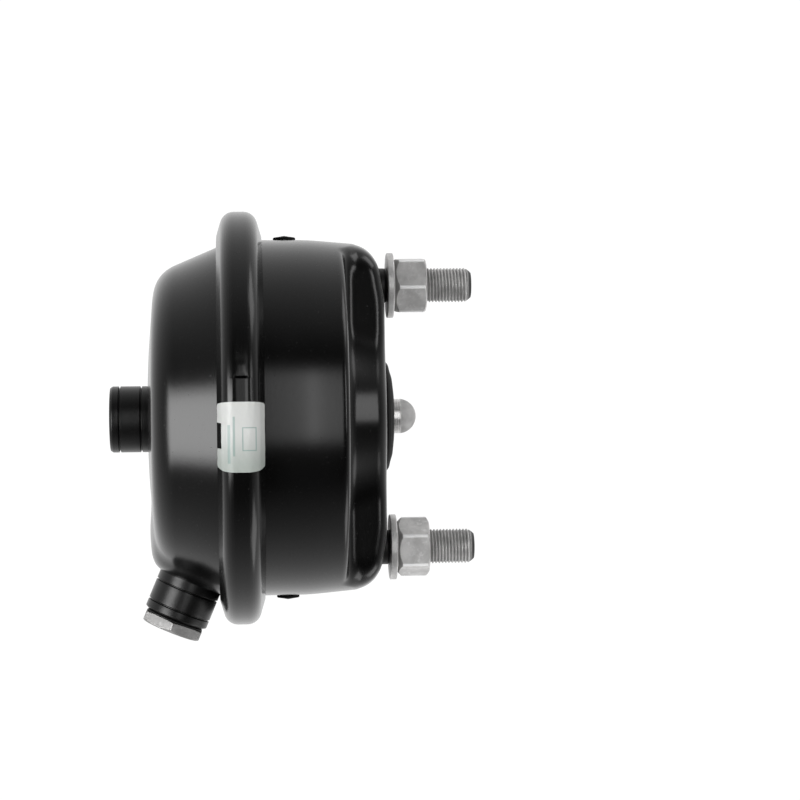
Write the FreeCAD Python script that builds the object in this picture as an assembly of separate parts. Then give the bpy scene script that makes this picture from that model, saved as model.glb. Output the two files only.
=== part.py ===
"""Service diaphragm brake chamber for an air disc brake.

Millimetres. The X axis is the chamber's axis and points the way the pushrod travels, Z is up and
the two mounting studs lie in the XZ plane. The origin is the centre of the mounting face.
"""
import FreeCAD, Part
import math
import os

# Shells and flanges
STUD_SPACING = 120.65
STUD_MARGIN = 21.175
WALL = 3.0
HOUSING_DEPTH = 60.8
FLANGE_WIDTH = 8.5
FLANGE_EDGE = 0.8
FLANGE_ROOT = 2.5
RIM_THICKNESS = 3.8

# Front housing
TAPER_DEPTH = 35.0
TAPER_ROUND = 80.0
SHOULDER_DEPTH = 3.9
SHOULDER_INSET = 2.9
SHOULDER_ROUND = 17.0
FACE_INSET = 24.5
FACE_ROUND = 40.0
LEDGE_DEPTH = 19.0
LEDGE_ROUND = 5.0
RIDGE_HALF = 24.0
RIDGE_DRAFT = 6.0
RIDGE_EDGE = 4.0
RIDGE_INSIDE_EDGE = 1.0
RIDGE_ROOT = 6.0
ROOT_ANGLES = (80.0, 60.0, 40.0, 25.0, 13.0)
BULGE_WIDTH = 9.0
BULGE_DRAFT = 18.9
WAIST_ROUND = 12.0
ROD_HOLE_R = 24.0
ROD_HOLE_EDGE = 2.0

# Rear cover
CONE_STEP = 1.0
CONE_ANGLE = 23.0
COVER_DEPTH = 37.2
COVER_CORNER_RISE = 3.8
COVER_CORNER_ROUND = 9.0
COVER_BREAK_RISE = 1.1
COVER_BREAK_R = 35.0
COVER_BREAK_ROUND = 150.0

# Ports in the rear cover
PORT_BORE_R = 10.19
PORT_AIR_R = 7.0
REAR_BOSS_WALL = 4.96
REAR_BOSS_LENGTH = 17.2
REAR_BOSS_CHAMFER = 0.8
REAR_GROOVES = (3.1, 12.9)
LOWER_PORT_SETBACK = 18.1
LOWER_BOSS_WALL = 4.61
LOWER_BOSS_HEIGHT = 19.2
LOWER_BOSS_CHAMFER = 2.0
LOWER_GROOVES = (4.8, 14.4)
BOSS_CHAMFER_LENGTH = 1.2
BORE_CHAMFER = 1.0
GROOVE_WIDTH = 1.2
GROOVE_DEPTH = 1.2
PAD_PROUD = 1.2
PAD_MARGIN = 4.7
PAD_EDGE = 5.0
PAD_DRAFT = 32.0
PAD_DEPTH = 22.0
PAD_REAR_RISE = 0.1
PAD_REAR_ROUND = 7.0

# Plug in the lower port
SEAL_THICKNESS = 0.8
SEAL_WIDTH = 3.11
SEAL_BORE_CLEARANCE = 0.35
PLUG_FLATS = 27.0
PLUG_HEAD = 4.8
PLUG_SHANK = 13.0
THREAD_CLEARANCE = 0.05
HEX_CHAMFER_ANGLE = 30.0

# Clamp ring
RING_STAND = 5.0
RING_WALL = 3.0
RING_SIDE_GAP = 0.35
RING_CREST_ROUND = 5.0
RING_LEG_ANGLE = 16.5
RING_FRONT_TIP_GAP = 0.5
RING_REAR_TIP_GAP = 1.9
RING_TIP_ROUND = 1.0
SEAM_ANGLE = 10.5
SEAM_LENGTH = 5.0
SEAM_WIDTH = 0.8
SEAM_DEPTH = 1.2

# Label on the ring
LABEL_THICKNESS = 0.2
LABEL_GLUE = 0.05
LABEL_TOP_ANGLE = 4.1
LABEL_BOTTOM_ANGLE = -14.0
LABEL_LAP = 2.9
LABEL_NOTCH_DEPTH = 2.2
LABEL_NOTCH_TOP = -2.1
LABEL_NOTCH_HEIGHT = 11.7

# Pushrod, plate and diaphragm
ROD_R = 8.0
ROD_TIP_X = 15.0
PLATE_THICKNESS = 3.0
PLATE_MARGIN = 15.35
PLATE_RIM = 4.0
PLATE_OUTER_ROUND = 6.0
PLATE_INNER_ROUND = 3.0
COLLAR_WIDTH = 5.0
COLLAR_LENGTH = 6.0
COLLAR_ROUND = 1.0
SPIGOT_R = 6.0
SPIGOT_CLEARANCE = 0.05
DIAPHRAGM_THICKNESS = 3.0
DIAPHRAGM_GAP = 0.6
DIAPHRAGM_BACK_GAP = 4.0
DIAPHRAGM_EDGE_GAP = 0.5
PLATE_GAP = 0.3

# Studs, washers and nuts
STUD_R = 8.0
STUD_END_X = 41.5
STUD_CHAMFER = 2.0
STUD_HEAD_R = 13.0
STUD_HEAD = 5.0
STUD_HOLE_CLEARANCE = 0.1
STUD_PLATE_THICKNESS = 5.0
STUD_PLATE_INSET = 6.0
STUD_PLATE_RING = 5.0
FORM_GAP = 0.05
HEAD_GAP = 0.3
WASHER_X = 2.1
WASHER_THICKNESS = 3.0
WASHER_R = 15.0
WASHER_CLEARANCE = 0.5
WASHER_EDGE = 0.4
NUT_GAP = 0.1
NUT_FLATS = 24.0
NUT_HEIGHT = 15.0
NUT_FACE = 0.4
NUT_BORE_CLEARANCE = 0.06
UPPER_NUT_ANGLE = 6.5
LOWER_NUT_ANGLE = 35.7

# Boot, its retainer and the return spring
BOOT_LIP_WIDTH = 1.6
BOOT_LIP = 1.2
BOOT_HOLE_CLEARANCE = 0.1
BOOT_LIP_GAP = 0.05
BOOT_WALL = 1.8
BOOT_FOLD_GAP = 0.5
BOOT_FOLD_X = -28.5
BOOT_NOSE_X = 4.2
BOOT_NOSE_ROUND = 7.0
BOOT_ROD_CLEARANCE = 0.3
BOOT_BEAD_WIDTH = 2.5
BOOT_BEAD = 2.1
RETAINER_WIDTH = 6.0
RETAINER_WALL = 2.0
RETAINER_CLEARANCE = 0.5
RETAINER_ROUND = 1.0
SPRING_WIRE = 4.5
SPRING_PITCH = 14.16
SPRING_FRONT_INSET = 3.0
SPRING_REAR_INSET = 10.0

# Drain plugs
DRAIN_SETBACK = 16.0
DRAIN_HOLE_R = 4.0
DRAIN_CAP_R = 5.15
DRAIN_CAP = 1.3
DRAIN_PEAK = 0.9
DRAIN_STEM = 7.0
DRAIN_CLEARANCE = 0.05
DRAIN_CAP_GAP = 0.05

REACH = 10.0
OVERCUT = 1.0
FINE_ROUND = 0.4
EDGE_SEARCH = 0.1
ORIGIN = FreeCAD.Vector(0, 0, 0)
AXIS = FreeCAD.Vector(1, 0, 0)
HEX_CORNER = 1 / math.cos(math.radians(30))

# Places and radii that follow from the sizes above
CONE_SLOPE = math.tan(math.radians(CONE_ANGLE))
CONE_COS = math.cos(math.radians(CONE_ANGLE))
LEG_SLOPE = math.tan(math.radians(RING_LEG_ANGLE))
LEG_COS = math.cos(math.radians(RING_LEG_ANGLE))
BODY_R = STUD_SPACING / 2 + STUD_MARGIN
FLANGE_R = BODY_R + FLANGE_WIDTH
CONE_R = BODY_R - CONE_STEP
BULGE_R = ROD_HOLE_R + BULGE_WIDTH
REAR_BOSS_R = PORT_BORE_R + REAR_BOSS_WALL
LOWER_BOSS_R = PORT_BORE_R + LOWER_BOSS_WALL
FLANGE_X = -HOUSING_DEPTH
FRONT_MOUTH_X = FLANGE_X - WALL
REAR_MOUTH_X = FRONT_MOUTH_X - RIM_THICKNESS
REAR_FLANGE_X = REAR_MOUTH_X - WALL
COVER_END_X = REAR_FLANGE_X - COVER_DEPTH
LOWER_PORT_X = REAR_FLANGE_X - LOWER_PORT_SETBACK
RING_X = (FLANGE_X + REAR_FLANGE_X) / 2
RING_R = FLANGE_R + RING_STAND
RING_FLANGE_HALF = (FLANGE_X - REAR_FLANGE_X) / 2 + RING_SIDE_GAP
RING_CREST_HALF = RING_FLANGE_HALF + RING_WALL / LEG_COS - LEG_SLOPE * RING_STAND
DIAPHRAGM_BACK_X = COVER_END_X + WALL + DIAPHRAGM_BACK_GAP
DIAPHRAGM_X = DIAPHRAGM_BACK_X + DIAPHRAGM_THICKNESS
PLATE_BACK_X = DIAPHRAGM_X + PLATE_GAP
PLATE_X = PLATE_BACK_X + PLATE_THICKNESS
PLATE_R = CONE_R - CONE_SLOPE * (REAR_FLANGE_X - PLATE_X) - PLATE_MARGIN
STUD_PLATE_X = -WALL - STUD_PLATE_THICKNESS
BEAD_X = STUD_PLATE_X - BOOT_BEAD
BEAD_R = ROD_HOLE_R + BOOT_BEAD_WIDTH
SLEEVE_R = ROD_HOLE_R - BOOT_HOLE_CLEARANCE
RETAINER_X = BEAD_X - RETAINER_WALL
RETAINER_R = ROD_HOLE_R + RETAINER_WIDTH
NUT_X = WASHER_X + WASHER_THICKNESS + NUT_GAP
DRAIN_X = FLANGE_X + DRAIN_SETBACK


def cone_r(x, inside=0.0):
    """Radius of the rear cover's cone at x, measured inside its outer surface."""
    return CONE_R - CONE_SLOPE * (REAR_FLANGE_X - x) - inside / CONE_COS


def in_section(u, v):
    """Point of a profile that is turned about the X axis."""
    return FreeCAD.Vector(u, 0, v)


def outline(corners, place=in_section):
    """Closed face through (u, v, round) corners, each rounded by its own radius."""
    count = len(corners)
    ends = []
    edges = []
    for i in range(count):
        u, v, size = corners[i]
        before = corners[i - 1]
        after = corners[(i + 1) % count]
        to_before = (before[0] - u, before[1] - v)
        to_after = (after[0] - u, after[1] - v)
        long_before = math.hypot(*to_before)
        long_after = math.hypot(*to_after)
        dot = (to_before[0] * to_after[0] + to_before[1] * to_after[1]) / long_before / long_after
        half = math.acos(max(-1.0, min(1.0, dot))) / 2
        if size <= 0:
            ends.append((place(u, v), place(u, v)))
            continue
        back = size / math.tan(half)
        start = (u + to_before[0] / long_before * back, v + to_before[1] / long_before * back)
        stop = (u + to_after[0] / long_after * back, v + to_after[1] / long_after * back)
        middle = ((start[0] + stop[0]) / 2 - u, (start[1] + stop[1]) / 2 - v)
        near = (size / math.sin(half) - size) / math.hypot(*middle)
        arc = Part.Arc(place(*start), place(u + middle[0] * near, v + middle[1] * near), place(*stop))
        edges.append(arc.toShape())
        ends.append((place(*start), place(*stop)))
    for i in range(count):
        leave = ends[i][1]
        arrive = ends[(i + 1) % count][0]
        if leave.distanceToPoint(arrive) > 1e-7:
            edges.append(Part.makeLine(leave, arrive))
    return Part.Face(Part.Wire(Part.__sortEdges__(edges)))


def inset(chain, depth):
    """Open chain of (u, v, round) corners moved by depth to its right-hand side."""
    lines = []
    for (u0, v0, _), (u1, v1, _) in zip(chain, chain[1:]):
        length = math.hypot(u1 - u0, v1 - v0)
        du = (u1 - u0) / length
        dv = (v1 - v0) / length
        lines.append((u0 + dv * depth, v0 - du * depth, du, dv, length))
    first = lines[0]
    moved = [(first[0], first[1], chain[0][2])]
    for one, two, corner in zip(lines, lines[1:], chain[1:]):
        turn = one[2] * two[3] - one[3] * two[2]
        along = ((two[0] - one[0]) * two[3] - (two[1] - one[1]) * two[2]) / turn
        size = corner[2] + depth if turn > 0 else max(corner[2] - depth, FINE_ROUND)
        moved.append((one[0] + one[2] * along, one[1] + one[3] * along, size))
    last = lines[-1]
    moved.append((last[0] + last[2] * last[4], last[1] + last[3] * last[4], chain[-1][2]))
    return moved


def turned(corners):
    """Solid of revolution about the chamber's axis."""
    return outline(corners).revolve(ORIGIN, AXIS, 360)


def turned_at(corners, base, direction):
    """Solid of revolution whose profile runs along a direction from a base point."""
    solid = turned(corners)
    solid.Placement = FreeCAD.Placement(base, FreeCAD.Rotation(AXIS, direction))
    return solid


def clean(shape):
    """The one solid of a result, with faces that continue each other joined."""
    return shape.removeSplitter().Solids[0]


def hexagon(flats, height, corner_angle):
    """Hexagonal prism along +X from the origin, with one corner at an angle from +Y."""
    corner = flats / 2 * HEX_CORNER
    points = []
    for k in range(7):
        angle = math.radians(corner_angle + 60 * k)
        points.append(FreeCAD.Vector(0, corner * math.cos(angle), corner * math.sin(angle)))
    return Part.Face(Part.makePolygon(points)).extrude(FreeCAD.Vector(height, 0, 0))


def hex_chamfer(flats, start, height, start_too):
    """Double cone that takes the corners off a hexagon between two heights."""
    corner_r = flats / 2 * HEX_CORNER
    edge_r = flats / 2
    drop = (corner_r - edge_r + FINE_ROUND) * math.tan(math.radians(HEX_CHAMFER_ANGLE))
    wide_r = corner_r + FINE_ROUND
    corners = [(start, 0, 0)]
    if start_too:
        corners += [(start, edge_r, 0), (start + drop, wide_r, 0)]
    else:
        corners += [(start, wide_r, 0)]
    corners += [(start + height - drop, wide_r, 0), (start + height, edge_r, 0), (start + height, 0, 0)]
    return turned(corners)


def port_frame():
    """Point where the lower port's axis leaves the cone, and the port's direction."""
    angle = math.radians(CONE_ANGLE)
    base = FreeCAD.Vector(LOWER_PORT_X, 0, -cone_r(LOWER_PORT_X))
    return base, FreeCAD.Vector(-math.sin(angle), 0, -math.cos(angle))


def flange(mouth_x, back_x, wall_x, wall_r, wall_end):
    """Flat flange round a mouth, rounded into the wall behind it."""
    return turned([
        (mouth_x, 0, 0),
        (mouth_x, FLANGE_R, FLANGE_EDGE),
        (back_x, FLANGE_R, FLANGE_EDGE),
        (back_x, wall_r, FLANGE_ROOT),
        (wall_x, wall_end, 0),
        (wall_x, 0, 0),
    ])


def mouth(mouth_x, side, corner_r, wall_x, wall_end):
    """Cutter that rounds the inner edge of a mouth."""
    outside_x = mouth_x + side * OVERCUT
    return turned([
        (outside_x, 0, 0),
        (outside_x, corner_r + FLANGE_ROOT + OVERCUT, 0),
        (mouth_x, corner_r + FLANGE_ROOT + OVERCUT, 0),
        (mouth_x, corner_r, FLANGE_ROOT),
        (wall_x, wall_end, 0),
        (wall_x, 0, 0),
    ])


def ridge_half(x, depth):
    """Half width of the ridge's straight part at x, moved inwards by depth."""
    slant = math.radians(RIDGE_DRAFT)
    return RIDGE_HALF - x * math.tan(slant) - depth / math.cos(slant)


def ridge_wire(x, depth, flare=0.0):
    """Outline across the ridge at x, moved in by depth and out by flare: bar, waists, round middle."""
    slant = math.radians(BULGE_DRAFT)
    half = ridge_half(x, depth) + flare
    bulge = BULGE_R - x * math.tan(slant) - depth / math.cos(slant) + flare
    waist = WAIST_ROUND + depth - flare
    end = BODY_R + REACH
    middle = math.sqrt((bulge + waist) ** 2 - (half + waist) ** 2)
    lean = math.atan2(middle, half + waist)
    meet_y = bulge * math.cos(lean)
    meet_z = bulge * math.sin(lean)
    turn_y = half + waist - waist * math.cos(lean / 2)
    turn_z = middle - waist * math.sin(lean / 2)

    def at(y, z):
        return FreeCAD.Vector(x, y, z)

    edges = []
    for y_side in (1, -1):
        for z_side in (1, -1):
            start = at(y_side * half, z_side * middle)
            meet = at(y_side * meet_y, z_side * meet_z)
            edges.append(Part.makeLine(at(y_side * half, z_side * end), start))
            edges.append(Part.Arc(start, at(y_side * turn_y, z_side * turn_z), meet).toShape())
        low = at(y_side * meet_y, -meet_z)
        high = at(y_side * meet_y, meet_z)
        edges.append(Part.Arc(low, at(y_side * bulge, 0), high).toShape())
    for z_side in (1, -1):
        edges.append(Part.makeLine(at(-half, z_side * end), at(half, z_side * end)))
    return Part.Wire(Part.__sortEdges__(edges))


def ridge_core(low_x, full, depth):
    """Ridge with drafted sides inside the housing's full outline, its edges rounded to the ledges."""
    sides = Part.makeLoft([ridge_wire(low_x, depth), ridge_wire(-depth, depth)], True, True)
    solid = sides.common(full)
    rounded = []
    for edge in solid.Edges:
        box = edge.BoundBox
        upright = box.XMin < low_x + OVERCUT and box.XMax > -depth - OVERCUT
        middle = edge.valueAt((edge.FirstParameter + edge.LastParameter) / 2)
        on_side = abs(middle.y) > ridge_half(middle.x, depth) - EDGE_SEARCH
        if on_side and not upright and box.XMax > low_x + OVERCUT:
            rounded.append(edge)
    return solid.makeFillet(max(RIDGE_EDGE - depth, RIDGE_INSIDE_EDGE), rounded)


def ridge_skirt(low_x, full, depth):
    """Foot of the ridge that curves out into the ledges, in bands between outlines down the curve."""
    size = RIDGE_ROOT + depth
    wires = []
    for angle in ROOT_ANGLES:
        rise = size * (1 - math.cos(math.radians(angle)))
        flare = size * (1 - math.sin(math.radians(angle)))
        wires.append(ridge_wire(rise - LEDGE_DEPTH - depth, depth, flare))
    lowest = wires[-1].BoundBox.XMin
    foot = Part.Face(wires[-1]).extrude(FreeCAD.Vector(low_x - lowest, 0, 0))
    bands = Part.makeLoft(wires, True, False)
    return foot.fuse(bands).common(full)


def front_form(depth):
    """Block inside the front housing's surface, moved inwards by depth: bowl, ridge and its foot."""
    slope = -SHOULDER_INSET / (TAPER_DEPTH - SHOULDER_DEPTH)
    ledge_r = BODY_R + slope * (TAPER_DEPTH - LEDGE_DEPTH)
    wall = [(FRONT_MOUTH_X, BODY_R, 0), (-TAPER_DEPTH, BODY_R, TAPER_ROUND)]
    ledge = [(-LEDGE_DEPTH, ledge_r, LEDGE_ROUND), (-LEDGE_DEPTH, 0, 0)]
    shoulder = [(-SHOULDER_DEPTH, BODY_R - SHOULDER_INSET, SHOULDER_ROUND)]
    shoulder += [(0, BODY_R - FACE_INSET, FACE_ROUND), (0, 0, 0)]
    bowl = turned([(FRONT_MOUTH_X, 0, 0)] + inset(wall + ledge, depth))
    full = turned([(FRONT_MOUTH_X, 0, 0)] + inset(wall + shoulder, depth))
    low_x = -LEDGE_DEPTH - REACH
    core = ridge_core(low_x, full, depth)
    skirt = ridge_skirt(low_x, full, depth)
    return bowl.fuse([core, skirt]).removeSplitter()


def front_housing():
    """Pressed housing: bowl with side ledges, ridge for the studs, rod hole and drain holes."""
    outer = front_form(0)
    inner = front_form(WALL)
    inner_r = BODY_R - WALL
    join_x = -TAPER_DEPTH - REACH
    rim = flange(FRONT_MOUTH_X, FLANGE_X, join_x, BODY_R, BODY_R)
    edge = mouth(FRONT_MOUTH_X, -1, inner_r, join_x, inner_r)
    shell = outer.fuse(rim).cut(inner.fuse(edge))
    hole = turned([
        (-WALL - OVERCUT, 0, 0),
        (-WALL - OVERCUT, ROD_HOLE_R, 0),
        (0, ROD_HOLE_R, ROD_HOLE_EDGE),
        (0, ROD_HOLE_R + ROD_HOLE_EDGE + OVERCUT, 0),
        (OVERCUT, ROD_HOLE_R + ROD_HOLE_EDGE + OVERCUT, 0),
        (OVERCUT, 0, 0),
    ])
    shell = shell.cut(hole)
    for side in (1, -1):
        base = FreeCAD.Vector(-REACH - WALL, 0, side * STUD_SPACING / 2)
        shell = shell.cut(Part.makeCylinder(STUD_R + STUD_HOLE_CLEARANCE, REACH * 2, base, AXIS))
        drain = FreeCAD.Vector(DRAIN_X, 0, side * (BODY_R - REACH))
        out = FreeCAD.Vector(0, 0, side)
        shell = shell.cut(Part.makeCylinder(DRAIN_HOLE_R, 2 * REACH, drain, out))
    return clean(shell)


def cover_form(depth):
    """Block inside the rear cover's surface, moved inwards by depth: cone, dished end and pad."""
    corner_x = COVER_END_X + COVER_CORNER_RISE
    chain = inset([
        (COVER_END_X, 0, 0),
        (COVER_END_X + COVER_BREAK_RISE, COVER_BREAK_R, COVER_BREAK_ROUND),
        (corner_x, cone_r(corner_x), COVER_CORNER_ROUND),
        (REAR_FLANGE_X, CONE_R, 0),
    ], depth)
    dish_x = chain[0][0]
    dish = turned([(dish_x, 0, 0)] + chain[1:] + [(REAR_FLANGE_X, 0, 0)])
    base, direction = port_frame()
    flare = math.tan(math.radians(PAD_DRAFT))
    pad_r = LOWER_BOSS_R + PAD_MARGIN
    side = inset([
        (-PAD_DEPTH, pad_r + flare * (PAD_DEPTH + PAD_PROUD), 0),
        (PAD_PROUD, pad_r, PAD_EDGE),
        (PAD_PROUD, 0, 0),
    ], depth)
    pad = turned_at([(side[0][0], 0, 0)] + side, base, direction)
    tangent = FreeCAD.Vector(direction.z, 0, -direction.x)
    top = base + direction * PAD_PROUD
    rear_x = COVER_END_X + PAD_REAR_RISE
    steps = (top.x - rear_x) / tangent.x
    corner = top - tangent * steps
    rear = inset([
        (COVER_END_X + COVER_BREAK_RISE, COVER_BREAK_R, 0),
        (rear_x, -corner.z, PAD_REAR_ROUND),
        (top.x + (top.x - corner.x), 2 * -top.z + corner.z, 0),
    ], depth)
    front = rear[-1][0]
    wedge_corners = [(u, -v, size) for u, v, size in rear] + [(front, -COVER_BREAK_R, 0)]
    wedge = outline(wedge_corners)
    wedge.translate(FreeCAD.Vector(0, -BODY_R, 0))
    prism = wedge.extrude(FreeCAD.Vector(0, 2 * BODY_R, 0))
    return dish.fuse(pad.common(prism)).removeSplitter()


def rear_cover():
    """Pressed pressure cover with its port pad and an air hole under each boss."""
    outer = cover_form(0)
    inner = cover_form(WALL)
    join_x = REAR_FLANGE_X - REACH
    rim = flange(REAR_MOUTH_X, REAR_FLANGE_X, join_x, CONE_R, cone_r(join_x))
    edge = mouth(REAR_MOUTH_X, 1, cone_r(REAR_MOUTH_X, WALL), join_x, cone_r(join_x, WALL))
    shell = outer.fuse(rim).cut(inner.fuse(edge))
    centre = FreeCAD.Vector(COVER_END_X - REACH, 0, 0)
    shell = shell.cut(Part.makeCylinder(PORT_AIR_R, 2 * REACH, centre, AXIS))
    base, direction = port_frame()
    start = base - direction * REACH
    shell = shell.cut(Part.makeCylinder(PORT_AIR_R, 2 * REACH, start, direction))
    return clean(shell)


def boss(seat, height, boss_r, chamfer, grooves):
    """Turned boss along +X from inside the cover: V grooves above its seat, threaded bore, chamfers."""
    corners = [(-REACH, PORT_BORE_R, 0), (-REACH, boss_r, 0)]
    for above in grooves:
        at = seat + above
        corners.append((at - GROOVE_WIDTH / 2, boss_r, 0))
        corners.append((at, boss_r - GROOVE_DEPTH, 0))
        corners.append((at + GROOVE_WIDTH / 2, boss_r, 0))
    corners.append((height - BOSS_CHAMFER_LENGTH, boss_r, 0))
    corners.append((height, boss_r - chamfer, 0))
    corners.append((height, PORT_BORE_R + BORE_CHAMFER, 0))
    corners.append((height - BORE_CHAMFER, PORT_BORE_R, 0))
    return turned(corners)


def rear_port_boss():
    """Boss on the chamber's axis, seated on the cover's dished end."""
    solid = boss(0, REAR_BOSS_LENGTH, REAR_BOSS_R, REAR_BOSS_CHAMFER, REAR_GROOVES)
    solid.Placement = FreeCAD.Placement(
        FreeCAD.Vector(COVER_END_X, 0, 0), FreeCAD.Rotation(AXIS, FreeCAD.Vector(-1, 0, 0)))
    return clean(solid.cut(cover_form(0)))


def lower_port_boss():
    """Boss on the pad, square to the cone."""
    base, direction = port_frame()
    height = PAD_PROUD + LOWER_BOSS_HEIGHT
    solid = boss(PAD_PROUD, height, LOWER_BOSS_R, LOWER_BOSS_CHAMFER, LOWER_GROOVES)
    solid.Placement = FreeCAD.Placement(base, FreeCAD.Rotation(AXIS, direction))
    return clean(solid.cut(cover_form(0)))


def plug_seal():
    """Flat sealing ring between the lower boss and its plug."""
    base, direction = port_frame()
    start = PAD_PROUD + LOWER_BOSS_HEIGHT
    bore = PORT_BORE_R + SEAL_BORE_CLEARANCE
    seal_r = PORT_BORE_R + SEAL_WIDTH
    return turned_at([
        (start, bore, 0),
        (start, seal_r, 0),
        (start + SEAL_THICKNESS, seal_r, 0),
        (start + SEAL_THICKNESS, bore, 0),
    ], base, direction)


def port_plug():
    """Hex plug that closes the lower port, one corner towards -Y."""
    base, direction = port_frame()
    start = PAD_PROUD + LOWER_BOSS_HEIGHT + SEAL_THICKNESS
    head = hexagon(PLUG_FLATS, PLUG_HEAD, 0)
    head = head.common(hex_chamfer(PLUG_FLATS, 0, PLUG_HEAD, False))
    head.translate(FreeCAD.Vector(start, 0, 0))
    shank_r = PORT_BORE_R - THREAD_CLEARANCE
    shank = turned([
        (start - PLUG_SHANK, 0, 0),
        (start - PLUG_SHANK, shank_r - BORE_CHAMFER, 0),
        (start - PLUG_SHANK + BORE_CHAMFER, shank_r, 0),
        (start, shank_r, 0),
        (start, 0, 0),
    ])
    solid = clean(head.fuse(shank))
    solid.Placement = FreeCAD.Placement(base, FreeCAD.Rotation(AXIS, direction))
    return solid


def ring_side(offset):
    """Front half of the ring's outer line, (x from its middle, r, round), moved inwards by offset."""
    tip_half = RING_CREST_HALF + LEG_SLOPE * (RING_R - BODY_R)
    chain = [(0, RING_R, 0), (RING_CREST_HALF, RING_R, RING_CREST_ROUND), (tip_half, BODY_R, 0)]
    return inset(chain, offset)


def clamp_ring():
    """Rolled ring of V section over both flanges, its rear leg down to the cone, with its seam."""
    front_tip_r = BODY_R + RING_FRONT_TIP_GAP
    rear_tip_r = CONE_R + RING_REAR_TIP_GAP
    inner_r = RING_R - RING_WALL
    inner_half = RING_CREST_HALF - RING_WALL / LEG_COS + LEG_SLOPE * RING_WALL

    def half_width(r, start_r, start):
        return start + LEG_SLOPE * (start_r - r)

    corners = [
        (-half_width(rear_tip_r, RING_R, RING_CREST_HALF), rear_tip_r, RING_TIP_ROUND),
        (-RING_CREST_HALF, RING_R, RING_CREST_ROUND),
        (RING_CREST_HALF, RING_R, RING_CREST_ROUND),
        (half_width(front_tip_r, RING_R, RING_CREST_HALF), front_tip_r, RING_TIP_ROUND),
        (half_width(front_tip_r, inner_r, inner_half), front_tip_r, RING_TIP_ROUND),
        (inner_half, inner_r, FINE_ROUND),
        (-inner_half, inner_r, FINE_ROUND),
        (-half_width(rear_tip_r, inner_r, inner_half), rear_tip_r, RING_TIP_ROUND),
    ]
    ring = turned([(RING_X + x, r, size) for x, r, size in corners])
    seam = Part.makeBox(SEAM_LENGTH, REACH, SEAM_WIDTH)
    seam.translate(FreeCAD.Vector(RING_X - SEAM_LENGTH / 2, -RING_R - REACH + SEAM_DEPTH, -SEAM_WIDTH / 2))
    seam.rotate(ORIGIN, AXIS, -SEAM_ANGLE)
    return clean(ring.cut(seam))


def ring_label():
    """Thin label bent over the ring's front, with a notch in its rear edge."""
    half = RING_CREST_HALF + LABEL_LAP

    def skin(offset):
        """Front half of the label's line, cut off at the label's half width."""
        crest = ring_side(offset)[1]
        end_r = crest[1] - (half - crest[0]) / LEG_SLOPE
        return [crest, (half, end_r, 0)]

    front = skin(-LABEL_GLUE - LABEL_THICKNESS)
    under = skin(-LABEL_GLUE)
    rear = [(-x, r, size) for x, r, size in reversed(front)]
    rear_under = [(-x, r, size) for x, r, size in reversed(under)]
    corners = rear + front + list(reversed(under)) + list(reversed(rear_under))
    section = outline([(RING_X + x, r, size) for x, r, size in corners])
    section.rotate(ORIGIN, AXIS, 90 - LABEL_TOP_ANGLE)
    label = section.revolve(ORIGIN, AXIS, LABEL_TOP_ANGLE - LABEL_BOTTOM_ANGLE)
    notch = Part.makeBox(LABEL_NOTCH_DEPTH + OVERCUT, 2 * REACH, LABEL_NOTCH_HEIGHT)
    low = LABEL_NOTCH_TOP - LABEL_NOTCH_HEIGHT
    notch.translate(FreeCAD.Vector(RING_X - half - OVERCUT, -RING_R - REACH / 2, low))
    return clean(label.cut(notch))


def diaphragm():
    """Rubber diaphragm lying back in the cover, with its rim between the flanges."""
    outside = WALL + DIAPHRAGM_GAP
    inside = outside + DIAPHRAGM_THICKNESS
    edge_r = FLANGE_R - DIAPHRAGM_EDGE_GAP
    lip_x = FRONT_MOUTH_X
    return clean(turned([
        (DIAPHRAGM_BACK_X, 0, 0),
        (DIAPHRAGM_BACK_X, cone_r(DIAPHRAGM_BACK_X, outside), COVER_CORNER_ROUND),
        (REAR_MOUTH_X, cone_r(REAR_MOUTH_X, outside), FLANGE_ROOT),
        (REAR_MOUTH_X, edge_r, FINE_ROUND),
        (lip_x, edge_r, FINE_ROUND),
        (lip_x, cone_r(lip_x, inside), FLANGE_ROOT),
        (DIAPHRAGM_X, cone_r(DIAPHRAGM_X, inside), COVER_CORNER_ROUND - DIAPHRAGM_THICKNESS),
        (DIAPHRAGM_X, 0, 0),
    ]))


def piston_plate():
    """Pressed plate with its rim turned forwards, pushed by the diaphragm."""
    hole_r = SPIGOT_R + SPIGOT_CLEARANCE
    rim_r = PLATE_R - PLATE_THICKNESS
    return clean(turned([
        (PLATE_BACK_X, hole_r, 0),
        (PLATE_BACK_X, PLATE_R, PLATE_OUTER_ROUND),
        (PLATE_X + PLATE_RIM, PLATE_R, FINE_ROUND),
        (PLATE_X + PLATE_RIM, rim_r, FINE_ROUND),
        (PLATE_X, rim_r, PLATE_INNER_ROUND),
        (PLATE_X, hole_r, 0),
    ]))


def pushrod():
    """Rod with a ball end, a collar on the plate and a spigot through it."""
    collar_r = ROD_R + COLLAR_WIDTH
    return clean(turned([
        (PLATE_BACK_X, 0, 0),
        (PLATE_BACK_X, SPIGOT_R, 0),
        (PLATE_X, SPIGOT_R, 0),
        (PLATE_X, collar_r, FINE_ROUND),
        (PLATE_X + COLLAR_LENGTH, collar_r, COLLAR_ROUND),
        (PLATE_X + COLLAR_LENGTH, ROD_R, COLLAR_ROUND),
        (ROD_TIP_X, ROD_R, ROD_R),
        (ROD_TIP_X, 0, 0),
    ]))


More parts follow.
